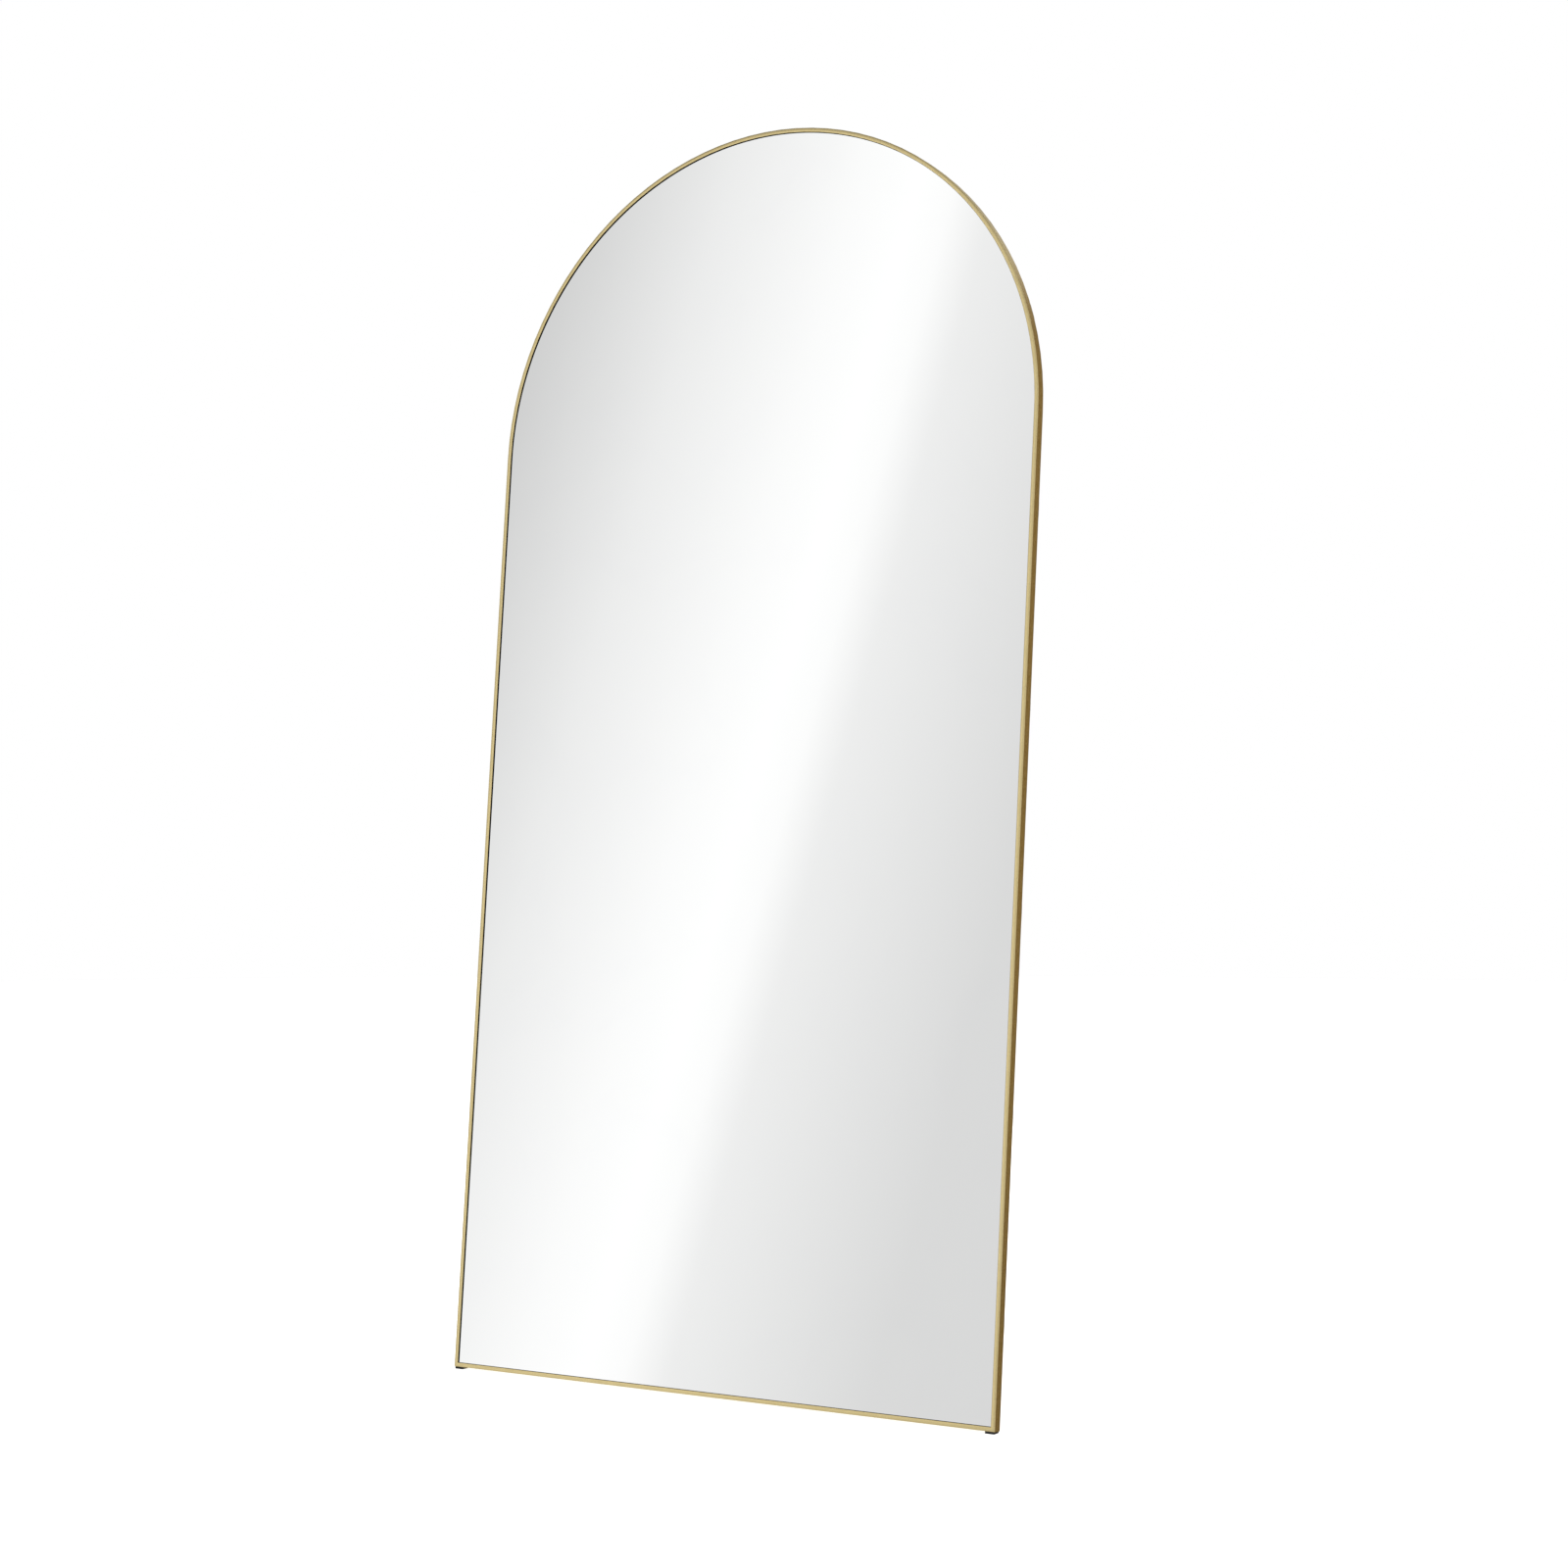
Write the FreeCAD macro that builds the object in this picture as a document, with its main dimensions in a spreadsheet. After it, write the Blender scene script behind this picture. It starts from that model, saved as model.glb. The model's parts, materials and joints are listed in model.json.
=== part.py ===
import FreeCAD, Part
import math
import os

import Sketcher
from FreeCAD import Placement, Rotation, Vector

# An arched floor mirror in a slim metal frame. It leans back on a tube stand that folds flat
# against its back, and with the stand folded it leans on a wall. Millimetres and degrees.
#
# Every leaning piece is drawn in the mirror's own axes: X across, Y backwards from the front
# face of the lip, Z up the mirror from the lower edge of the frame. One placement, the same
# for them all, leans them back. The stand's pieces are drawn about its hinge line, with the
# legs straight down, and swung open. The finished model stands on Z = 0, faces -Y, and has
# its origin under the middle of its outline.
#
# The frame is one extruded section: a lip in front of the glass, an outer wall, and a hollow
# channel along the back that holds the corner keys. From front to back the frame holds a
# glazing strip, the glass with its safety film, strips of tape, and the backing board.

SIZES = {
    # Outline and stance
    "mirror_width": 900,
    "mirror_height": 1820,
    "lean": 5.4,
    # Frame section
    "lip_width": 6,
    "lip_thickness": 1.2,
    "wall_thickness": 1.2,
    "channel_width": 6,
    "outer_edge_radius": 0.5,
    "lip_edge_radius": 0.3,
    # Layers inside the frame, front to back
    "strip_thickness": 0.8,
    "strip_width": 3.2,
    "glass_thickness": 4,
    "film_thickness": 0.2,
    "tape_thickness": 0.8,
    "board_thickness": 8,
    # Clearances round the layers
    "glass_edge_gap": 1,
    "film_gap": 0.2,
    "board_edge_gap": 0.3,
    # Tape strips
    "tape_count": 5,
    "tape_width": 25,
    "tape_edge_inset": 90,
    "tape_end_margin": 60,
    # Blocks under the glass
    "block_length": 60,
    "block_edge_inset": 225,
    # Corner keys and the screws through the back of the frame into them
    "key_arm": 45,
    "key_gap": 0.1,
    "key_screw_first": 18,
    "key_screw_pitch": 18,
    "key_screw_diameter": 2,
    "key_screw_length": 5,
    "key_screw_head": 4,
    "key_screw_head_height": 1.2,
    # Clips that hold the board in the frame
    "clip_pitch": 280,
    "clip_along": 24,
    "clip_across": 16,
    "clip_thickness": 1,
    "clip_edge_inset": 0.5,
    "clip_corner_radius": 2,
    "clip_screw_end": 4,
    "clip_screw_diameter": 2.5,
    "clip_screw_length": 5,
    "clip_screw_head": 4.6,
    "clip_screw_head_height": 1.4,
    # Hangers: a folded strap and a wire ring on each side of the back
    "hanger_edge_inset": 130,
    "hanger_below_top": 470,
    "strap_width": 18,
    "strap_length": 50,
    "strap_sheet": 1.2,
    "strap_corner_radius": 3,
    "strap_screw_first": 12,
    "strap_screw_pitch": 11,
    "strap_screw_diameter": 3.5,
    "strap_screw_length": 9.5,
    "strap_screw_head": 6.8,
    "strap_screw_head_height": 1.6,
    "ring_wire": 3.5,
    "ring_play": 0.1,
    "ring_side_gap": 2.2,
    "ring_drop": 24,
    "ring_corner_radius": 3,
    "ring_butt_gap": 0.4,
    "bow_screw_gap": 1.5,
    # Folding stand: a tube bent to a U, hinged between the ears of two brackets
    "stand_angle": 4.8,
    "stand_width": 440,
    "stand_hinge_below_top": 670,
    "stand_tube": 12,
    "stand_tube_wall": 1.2,
    "stand_bend_radius": 40,
    "stand_board_gap": 3.5,
    "stand_stop_gap": 0.1,
    "stand_foot_cover": 1.5,
    "stand_foot_gap": 0.05,
    "stand_foot_length": 30,
    "stand_foot_inset": 70,
    "plug_length": 5,
    "plug_gap": 0.05,
    "bracket_sheet": 2,
    "bracket_width": 40,
    "bracket_height": 54,
    "bracket_corner_radius": 4,
    "bracket_screw_across": 28,
    "bracket_screw_up": 40,
    "ear_gap": 0.3,
    "ear_radius": 8,
    "pin_diameter": 5,
    "pin_play": 0.08,
    "pin_head": 8,
    "pin_head_height": 1.5,
    # Rubber bumpers on the back and their screws
    "bumper_diameter": 22,
    "bumper_height": 8,
    "bumper_edge_inset": 32,
    "upper_bumper_angle": 12,
    "lower_bumper_height": 60,
    "bumper_seat": 3,
    "bumper_screw_diameter": 3,
    "bumper_screw_length": 9,
    "bumper_screw_head": 6,
    "bumper_screw_head_height": 2,
    "bumper_head_gap": 0.5,
    # Rubber feet under the frame
    "foot_thickness": 2,
    "foot_length": 14,
    "foot_setback": 1,
    # All screws
    "screw_hole_gap": 0.05,
    "screw_tip_gap": 0.3,
    "point_share_of_radius": 0.6,
    "rim_share_of_height": 0.5,
    "crown_share_of_head": 0.7,
    "cross_share_of_head": 0.55,
    "cross_share_of_height": 0.6,
    "cross_width": 0.8,
}

# Places and sizes that follow from the ones above, as expressions on the sheet.
HALF_WIDTH = "(sizes.mirror_width / 2)"
SPRINGING = "(sizes.mirror_height - sizes.mirror_width / 2)"
GLASS_FRONT = "(sizes.lip_thickness + sizes.strip_thickness)"
GLASS_BACK = f"({GLASS_FRONT} + sizes.glass_thickness)"
FILM_BACK = f"({GLASS_BACK} + sizes.film_thickness)"
CHANNEL_FRONT = f"({FILM_BACK} + sizes.film_gap)"
BOARD_FRONT = f"({FILM_BACK} + sizes.tape_thickness)"
FRAME_DEPTH = f"({BOARD_FRONT} + sizes.board_thickness)"
GLASS_INSET = "(sizes.wall_thickness + sizes.glass_edge_gap)"
BOARD_INSET = "(sizes.channel_width + sizes.board_edge_gap)"
KEY_INSET = "(sizes.wall_thickness + sizes.key_gap)"
KEY_WIDTH = "(sizes.channel_width - 2 * sizes.wall_thickness - 2 * sizes.key_gap)"
CHANNEL_MIDDLE = "(sizes.channel_width / 2)"
MITRE_REACH = "(sizes.lip_width + sizes.channel_width)"

CLIP_BOARD_SCREW_INSET = "(sizes.clip_edge_inset + sizes.clip_across - sizes.clip_screw_end)"

HANGER_X = f"({HALF_WIDTH} - sizes.hanger_edge_inset)"
HANGER_HEIGHT = "(sizes.mirror_height - sizes.hanger_below_top)"
BARREL_RADIUS = "(sizes.ring_wire / 2 + sizes.ring_play + sizes.strap_sheet)"
HINGE_DEPTH = f"({FRAME_DEPTH} + {BARREL_RADIUS})"
RING_HALF_WIDTH = "(sizes.strap_width / 2 + sizes.ring_side_gap + sizes.ring_wire / 2)"
BOW_HEIGHT = f"({RING_HALF_WIDTH} - sizes.ring_drop)"
BOW_CLEARANCE = "(sizes.ring_wire / 2 + sizes.strap_screw_head / 2 + sizes.bow_screw_gap)"
FIRST_SCREW_BELOW_BOW = f"({HANGER_HEIGHT} - sizes.ring_drop - {BOW_CLEARANCE})"
STRAP_SCREW_HEIGHTS = [
    f"{HANGER_HEIGHT} - sizes.strap_screw_first",
    FIRST_SCREW_BELOW_BOW,
    f"{FIRST_SCREW_BELOW_BOW} - sizes.strap_screw_pitch",
]

BUMPER_ARCH_RADIUS = f"({HALF_WIDTH} - sizes.bumper_edge_inset)"
UPPER_BUMPER_X = f"({BUMPER_ARCH_RADIUS} * sin(sizes.upper_bumper_angle))"
UPPER_BUMPER_Z = f"({SPRINGING} + {BUMPER_ARCH_RADIUS} * cos(sizes.upper_bumper_angle))"
LOWER_BUMPER_X = BUMPER_ARCH_RADIUS
LOWER_BUMPER_Z = "sizes.lower_bumper_height"
BUMPER_FACE = f"({FRAME_DEPTH} + sizes.bumper_height)"

# The rear lower edge of the frame is one foot's thickness above the floor.
LIFT = f"(sizes.foot_thickness + {FRAME_DEPTH} * sin(sizes.lean))"

# The stand hangs from its hinge at its own angle and reaches the floor. Its upper ends pass
# the hinge just far enough to meet the brackets' plates and stop it there.
STAND_HINGE_HEIGHT = "(sizes.mirror_height - sizes.stand_hinge_below_top)"
STAND_HINGE_OFFSET = "(sizes.stand_board_gap + sizes.stand_tube / 2)"
STAND_HINGE_DEPTH = f"({FRAME_DEPTH} + {STAND_HINGE_OFFSET})"
STAND_HINGE_Y = (
    f"({STAND_HINGE_HEIGHT} * sin(sizes.lean) + {STAND_HINGE_DEPTH} * cos(sizes.lean))"
)
STAND_HINGE_Z = (
    f"({STAND_HINGE_HEIGHT} * cos(sizes.lean) - {STAND_HINGE_DEPTH} * sin(sizes.lean) + {LIFT})"
)
STAND_FOOT_RADIUS = "(sizes.stand_tube / 2 + sizes.stand_foot_gap + sizes.stand_foot_cover)"
STAND_DROP = f"(({STAND_HINGE_Z} - {STAND_FOOT_RADIUS}) / cos(sizes.stand_angle))"
STAND_SPREAD = "(sizes.lean + sizes.stand_angle)"
STAND_STOP_REACH = f"({STAND_HINGE_OFFSET} - sizes.bracket_sheet - sizes.stand_stop_gap)"
STAND_HEAD = (
    f"(({STAND_STOP_REACH} - sizes.stand_tube / 2 * cos({STAND_SPREAD})) / sin({STAND_SPREAD}))"
)
STAND_BORE = "(sizes.stand_tube - 2 * sizes.stand_tube_wall)"
LEG_X = "(sizes.stand_width / 2)"
EAR_X = "(sizes.stand_tube / 2 + sizes.ear_gap + sizes.bracket_sheet / 2)"
PIN_HALF_SPAN = "(sizes.stand_tube / 2 + sizes.ear_gap + sizes.bracket_sheet)"

# From the frame's lower front edge to the back of the stand's feet.
OVERALL_DEPTH = (
    f"({STAND_HINGE_Y} + {STAND_DROP} * sin(sizes.stand_angle) + {STAND_FOOT_RADIUS})"
)

LEFT, RIGHT = -1, 1
SIDE_NAMES = {LEFT: "left", RIGHT: "right"}
BACKWARDS = Vector(0, 1, 0)
SCREW_UPRIGHT = Rotation(Vector(1, 0, 0), -90)
SMALLEST_CUT = 1e-3
THROUGH_ALL = 1

document = FreeCAD.newDocument("leaning_floor_mirror")
parts = {}


# ---------------------------------------------------------------- sheet and expressions
def make_sheet():
    sheet = document.addObject("Spreadsheet::Sheet", "sizes")
    for row, (alias, value) in enumerate(SIZES.items(), start=1):
        sheet.set(f"A{row}", alias)
        sheet.set(f"B{row}", str(value))
        sheet.setAlias(f"B{row}", alias)
    document.recompute()
    return sheet


sheet = make_sheet()


def number(expression):
    """The value that an expression on the sheet has now."""
    return float(sheet.evalExpression(str(expression)))


def lean_back(piece):
    """Puts a piece drawn in the mirror's axes where the leaning mirror has it."""
    piece.Placement = Placement(Vector(0, 0, 0), Rotation(Vector(1, 0, 0), 1))
    piece.setExpression("Placement.Rotation.Angle", "-sizes.lean")
    piece.setExpression("Placement.Base.y", f"-{OVERALL_DEPTH} / 2")
    piece.setExpression("Placement.Base.z", LIFT)


def swing_open(piece):
    """Puts a piece drawn about the stand's hinge line where the open stand has it."""
    piece.Placement = Placement(Vector(0, 0, 0), Rotation(Vector(1, 0, 0), 1))
    piece.setExpression("Placement.Rotation.Angle", "sizes.stand_angle")
    piece.setExpression("Placement.Base.y", f"{STAND_HINGE_Y} - {OVERALL_DEPTH} / 2")
    piece.setExpression("Placement.Base.z", STAND_HINGE_Z)


def add_part(label, piece, place=lean_back):
    piece.Label = label
    place(piece)
    parts[label] = piece


# ---------------------------------------------------------------- sketches
def new_sketch(body, name, plane, offset="0"):
    """Sketch on one of the body's own origin planes, moved along the plane's normal."""
    sketch = body.newObject("Sketcher::SketchObject", name)
    origin_plane = next(f for f in body.Origin.OriginFeatures if f.Role == plane)
    sketch.AttachmentSupport = [(origin_plane, "")]
    sketch.MapMode = "FlatFace"
    sketch.setExpression("AttachmentOffset.Base.z", offset)
    return sketch


def bind(sketch, kind, *geometry, to):
    """Dimension that follows an expression; a distance of nothing is drawn on the axis."""
    if to == "0":
        axis = {"DistanceX": -2, "DistanceY": -1}[kind]
        sketch.addConstraint(Sketcher.Constraint("PointOnObject", *geometry[-2:], axis))
        return
    constraint = Sketcher.Constraint(kind, *geometry, number(to))
    index = sketch.addConstraint(constraint)
    sketch.setExpression(f"Constraints[{index}]", to)


def place_point(sketch, geometry, vertex, x, y):
    bind(sketch, "DistanceX", -1, 1, geometry, vertex, to=x)
    bind(sketch, "DistanceY", -1, 1, geometry, vertex, to=y)


def draw_circle(sketch, x, y, diameter):
    centre = Vector(number(x), number(y), 0)
    circle = Part.Circle(centre, Vector(0, 0, 1), number(diameter) / 2)
    index = sketch.addGeometry(circle, False)
    place_point(sketch, index, 3, x, y)
    bind(sketch, "Diameter", index, to=diameter)


def draw_polygon(sketch, corners):
    """Closed outline through corners given as (x, y) expressions."""
    points = [Vector(number(x), number(y), 0) for x, y in corners]
    lines = []
    for start, end in zip(points, points[1:] + points[:1]):
        lines.append(sketch.addGeometry(Part.LineSegment(start, end), False))
    for line, following in zip(lines, lines[1:] + lines[:1]):
        sketch.addConstraint(Sketcher.Constraint("Coincident", line, 2, following, 1))
    for line, (x, y) in zip(lines, corners):
        place_point(sketch, line, 1, x, y)


def draw_square_outline(sketch, corners):
    """Closed outline whose edges follow the sketch's axes, each corner (x, y, radius)."""
    points = [Vector(number(x), number(y), 0) for x, y, _ in corners]
    radii = [number(radius) for _, _, radius in corners]
    count = len(corners)
    headings = [(points[(i + 1) % count] - points[i]).normalize() for i in range(count)]
    lines = []
    for i in range(count):
        following = (i + 1) % count
        start = points[i] + headings[i] * radii[i]
        end = points[following] - headings[i] * radii[following]
        lines.append(sketch.addGeometry(Part.LineSegment(start, end), False))
        x, y, _ = corners[i]
        if abs(headings[i].x) > abs(headings[i].y):
            sketch.addConstraint(Sketcher.Constraint("Horizontal", lines[i]))
            bind(sketch, "DistanceY", -1, 1, lines[i], 1, to=y)
        else:
            sketch.addConstraint(Sketcher.Constraint("Vertical", lines[i]))
            bind(sketch, "DistanceX", -1, 1, lines[i], 1, to=x)
    for i in range(count):
        before, after = lines[i - 1], lines[i]
        if not radii[i]:
            sketch.addConstraint(Sketcher.Constraint("Coincident", before, 2, after, 1))
            continue
        start = points[i] - headings[i - 1] * radii[i]
        end = points[i] + headings[i] * radii[i]
        centre = start + headings[i] * radii[i]
        middle = centre + (points[i] - centre).normalize() * radii[i]
        arc = sketch.addGeometry(Part.Arc(start, middle, end), False)
        forwards = headings[i - 1].cross(headings[i]).z > 0
        first, last = (1, 2) if forwards else (2, 1)
        sketch.addConstraint(Sketcher.Constraint("Tangent", before, 2, arc, first))
        sketch.addConstraint(Sketcher.Constraint("Tangent", arc, last, after, 1))
        bind(sketch, "Radius", arc, to=corners[i][2])


def draw_arch(sketch, inset):
    """The mirror's outline, moved inwards: a straight foot, two legs and a half circle."""
    radius = f"({HALF_WIDTH} - {inset})"
    reach, spring, foot = number(radius), number(SPRINGING), number(inset)
    corners = [
        Vector(-reach, spring, 0),
        Vector(-reach, foot, 0),
        Vector(reach, foot, 0),
        Vector(reach, spring, 0),
    ]
    legs_and_foot = []
    for start, end in zip(corners, corners[1:]):
        legs_and_foot.append(sketch.addGeometry(Part.LineSegment(start, end), False))
    left_leg, foot_line, right_leg = legs_and_foot
    crown = Part.Circle(Vector(0, spring, 0), Vector(0, 0, 1), reach)
    arc = sketch.addGeometry(Part.ArcOfCircle(crown, 0, math.pi), False)
    sketch.addConstraint(Sketcher.Constraint("Coincident", left_leg, 2, foot_line, 1))
    sketch.addConstraint(Sketcher.Constraint("Coincident", foot_line, 2, right_leg, 1))
    sketch.addConstraint(Sketcher.Constraint("Horizontal", foot_line))
    sketch.addConstraint(Sketcher.Constraint("Vertical", left_leg))
    sketch.addConstraint(Sketcher.Constraint("Vertical", right_leg))
    sketch.addConstraint(Sketcher.Constraint("Tangent", right_leg, 2, arc, 1))
    sketch.addConstraint(Sketcher.Constraint("Tangent", arc, 2, left_leg, 1))
    bind(sketch, "Radius", arc, to=radius)
    bind(sketch, "DistanceX", -1, 1, arc, 3, to="0")
    bind(sketch, "DistanceY", -1, 1, arc, 3, to=SPRINGING)
    bind(sketch, "DistanceY", -1, 1, foot_line, 1, to=inset)


# ---------------------------------------------------------------- solid features
def new_body(name):
    return document.addObject("PartDesign::Body", name)


def add_pad(body, sketch, name, length, both_ways=False, reverse=False):
    pad = body.newObject("PartDesign::Pad", name)
    pad.Profile = sketch
    pad.setExpression("Length", length)
    pad.Midplane = both_ways
    pad.Reversed = reverse
    document.recompute()
    return pad


def add_pocket(body, sketch, name, length=None, both_ways=False, reverse=False):
    """Pocket of a set depth, or right through; it has to remove something."""
    before = body.Shape.Volume
    pocket = body.newObject("PartDesign::Pocket", name)
    pocket.Profile = sketch
    if length is None:
        pocket.Type = THROUGH_ALL
    else:
        pocket.setExpression("Length", length)
    pocket.Midplane = both_ways
    pocket.Reversed = reverse
    document.recompute()
    if body.Shape.Volume > before - SMALLEST_CUT:
        raise ValueError(f"{body.Name}: {name} cuts nothing")
    return pocket


def turn_round(body, profile, name):
    """Solid turned from a profile about its sketch's upright axis."""
    turned = body.newObject("PartDesign::Revolution", name)
    turned.Profile = profile
    turned.ReferenceAxis = (profile, ["V_Axis"])
    turned.Angle = 360
    document.recompute()


def pad_layer(name, front, thickness, insets):
    """Flat layer of the mirror's outline; a second inset leaves a ring."""
    body = new_body(name)
    outline = new_sketch(body, f"{name}_outline", "XZ_Plane", f"-{front}")
    for inset in insets:
        draw_arch(outline, inset)
    add_pad(body, outline, f"{name}_pad", thickness, reverse=True)
    return body


# ---------------------------------------------------------------- screws and their holes
def make_screw(name):
    """Pan head screw along Z, its head's seat at Z = 0, with a crossed recess."""
    body = new_body(name)
    radius = f"sizes.{name}_diameter / 2"
    head = f"sizes.{name}_head / 2"
    height = f"sizes.{name}_head_height"
    profile = new_sketch(body, f"{name}_profile", "XZ_Plane")
    shank_end = f"-sizes.{name}_length"
    corners = [
        ("0", shank_end),
        (f"{radius} * sizes.point_share_of_radius", shank_end),
        (radius, f"{shank_end} + {radius}"),
        (radius, "0"),
        (head, "0"),
        (head, f"{height} * sizes.rim_share_of_height"),
        (f"{head} * sizes.crown_share_of_head", height),
        ("0", height),
    ]
    draw_polygon(profile, corners)
    turn_round(body, profile, f"{name}_turned")

    cross = new_sketch(body, f"{name}_cross", "XY_Plane", height)
    arm = f"({head} * sizes.cross_share_of_head)"
    half = "(sizes.cross_width / 2)"
    quarter = [(arm, f"-{half}"), (arm, half), (half, half)]
    corners = []
    for _ in range(4):
        corners += quarter
        quarter = [(f"-({y})", x) for x, y in quarter]
    draw_polygon(cross, corners)
    add_pocket(body, cross, f"{name}_recess", f"{height} * sizes.cross_share_of_height")
    return body


def copies_at(name, shape, places):
    """Group of separate solids: the same shape at each place."""
    copies = []
    for place in places:
        copy = shape.copy()
        copy.Placement = place
        copies.append(copy)
    group = document.addObject("Part::Feature", name)
    group.Shape = Part.makeCompound(copies)
    return group


def screw_holes(name, screw, places):
    """Drill of a screw's size at each place, from outside its seat to past its tip."""
    radius = number(f"sizes.{screw}_diameter / 2 + sizes.screw_hole_gap")
    below = number(f"sizes.{screw}_length + sizes.screw_tip_gap")
    above = number(f"sizes.{screw}_head")
    drill = Part.makeCylinder(radius, below + above, Vector(0, 0, -below))
    return copies_at(name, drill, places)


def drilled(label, base, hole_groups):
    """The base with each group of holes cut out of it."""
    shape = base
    for holes in hole_groups:
        cut = document.addObject("Part::Cut", f"{label}_less_{holes.Name}")
        cut.Base = shape
        cut.Tool = holes
        document.recompute()
        if cut.Shape.Volume > shape.Shape.Volume - SMALLEST_CUT:
            raise ValueError(f"{label}: {holes.Name} miss it")
        shape = cut
    add_part(label, shape)


def key_screw_places(side):
    """Screw seats on the back of the frame, two on each arm of a corner key."""
    middle = number(CHANNEL_MIDDLE)
    edge = number(HALF_WIDTH)
    back = number(FRAME_DEPTH)
    places = []
    for step in range(2):
        along = number(f"sizes.key_screw_first + {step} * sizes.key_screw_pitch")
        places.append(Placement(Vector(side * (edge - middle), back, along), SCREW_UPRIGHT))
        places.append(Placement(Vector(side * (edge - along), back, middle), SCREW_UPRIGHT))
    return places


def clip_places():
    """Clip origins on the frame's outer edge, X inwards and Z backwards, evenly spaced."""
    edge = number(HALF_WIDTH)
    spring = number(SPRINGING)
    back = number(FRAME_DEPTH)
    pitch = number("sizes.clip_pitch")

    def shares(length):
        count = max(1, round(length / pitch))
        return [(index + 0.5) / count for index in range(count)]

    stations = []
    for share in shares(spring):
        for side in (LEFT, RIGHT):
            stations.append((Vector(side * edge, back, share * spring), Vector(-side, 0, 0)))
    for share in shares(math.pi * edge):
        angle = share * math.pi
        outwards = Vector(math.cos(angle), 0, math.sin(angle))
        stations.append((Vector(0, back, spring) + outwards * edge, outwards * -1))
    for share in shares(2 * edge):
        stations.append((Vector((2 * share - 1) * edge, back, 0), Vector(0, 0, 1)))
    places = []
    for point, inwards in stations:
        turn = Rotation(inwards, BACKWARDS.cross(inwards), BACKWARDS, "ZXY")
        places.append(Placement(point, turn))
    return places


def clip_screw_places(inset):
    """Screw seats on the clips, at one distance in from the frame's outer edge."""
    seat = Placement(Vector(number(inset), 0, number("sizes.clip_thickness")), Rotation())
    return [place.multiply(seat) for place in clip_places()]


def strap_screw_places(side):
    """Screw seats on a hanger strap: one above the ring's bow and two below it."""
    across = side * number(HANGER_X)
    seat = number(f"{FRAME_DEPTH} + 2 * sizes.strap_sheet")
    points = [Vector(across, seat, number(height)) for height in STRAP_SCREW_HEIGHTS]
    return [Placement(point, SCREW_UPRIGHT) for point in points]


# ---------------------------------------------------------------- frame
def section_loops():
    """The frame's section as loops of (inset, depth, radius): the outline and the hollow."""
    outline = [
        ("0", "0", "sizes.outer_edge_radius"),
        ("0", FRAME_DEPTH, "sizes.outer_edge_radius"),
        ("sizes.channel_width", FRAME_DEPTH, "0"),
        ("sizes.channel_width", CHANNEL_FRONT, "0"),
        ("sizes.wall_thickness", CHANNEL_FRONT, "0"),
        ("sizes.wall_thickness", "sizes.lip_thickness", "0"),
        ("sizes.lip_width", "sizes.lip_thickness", "0"),
        ("sizes.lip_width", "0", "sizes.lip_edge_radius"),
    ]
    near = "sizes.wall_thickness"
    far = "(sizes.channel_width - sizes.wall_thickness)"
    front = f"({CHANNEL_FRONT} + sizes.wall_thickness)"
    back = f"({FRAME_DEPTH} - sizes.wall_thickness)"
    hollow = [(near, front, "0"), (near, back, "0"), (far, back, "0"), (far, front, "0")]
    return outline, hollow


def draw_mitres(sketch, outwards):
    """Triangle at each lower corner on one side of the 45 degree joint line."""
    for side in (LEFT, RIGHT):
        outer = f"({side} * ({HALF_WIDTH} + {MITRE_REACH}))"
        inner = f"({side} * ({HALF_WIDTH} - {MITRE_REACH}))"
        below, above = f"-{MITRE_REACH}", MITRE_REACH
        square_corner = (outer, above) if outwards else (inner, below)
        draw_polygon(sketch, [(outer, below), (inner, above), square_corner])


def make_hoop():
    """Both legs and the arch, bent from one length, with mitred feet."""
    body = new_body("hoop_blank")
    section = new_sketch(body, "hoop_section", "XY_Plane", SPRINGING)
    for loop in section_loops():
        draw_square_outline(section, [(f"{HALF_WIDTH} - {x}", y, r) for x, y, r in loop])
    arch = body.newObject("PartDesign::Revolution", "hoop_arch")
    arch.Profile = section
    arch.ReferenceAxis = (section, ["V_Axis"])
    arch.Angle = 180
    arch.Reversed = True
    leg = add_pad(body, section, "hoop_leg", SPRINGING, reverse=True)
    other_leg = body.newObject("PartDesign::Mirrored", "hoop_other_leg")
    other_leg.Originals = [leg]
    other_leg.MirrorPlane = (section, ["V_Axis"])
    body.Tip = other_leg
    document.recompute()
    mitres = new_sketch(body, "hoop_mitres", "XZ_Plane")
    draw_mitres(mitres, outwards=False)
    add_pocket(body, mitres, "hoop_mitre_cuts", both_ways=True)
    return body


def make_sill():
    """The bottom rail, the same section with both ends mitred."""
    body = new_body("sill_blank")
    section = new_sketch(body, "sill_section", "YZ_Plane")
    for loop in section_loops():
        draw_square_outline(section, [(y, x, r) for x, y, r in loop])
    add_pad(body, section, "sill_rail", "sizes.mirror_width", both_ways=True)
    mitres = new_sketch(body, "sill_mitres", "XZ_Plane")
    draw_mitres(mitres, outwards=True)
    add_pocket(body, mitres, "sill_mitre_cuts", both_ways=True)
    return body


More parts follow.
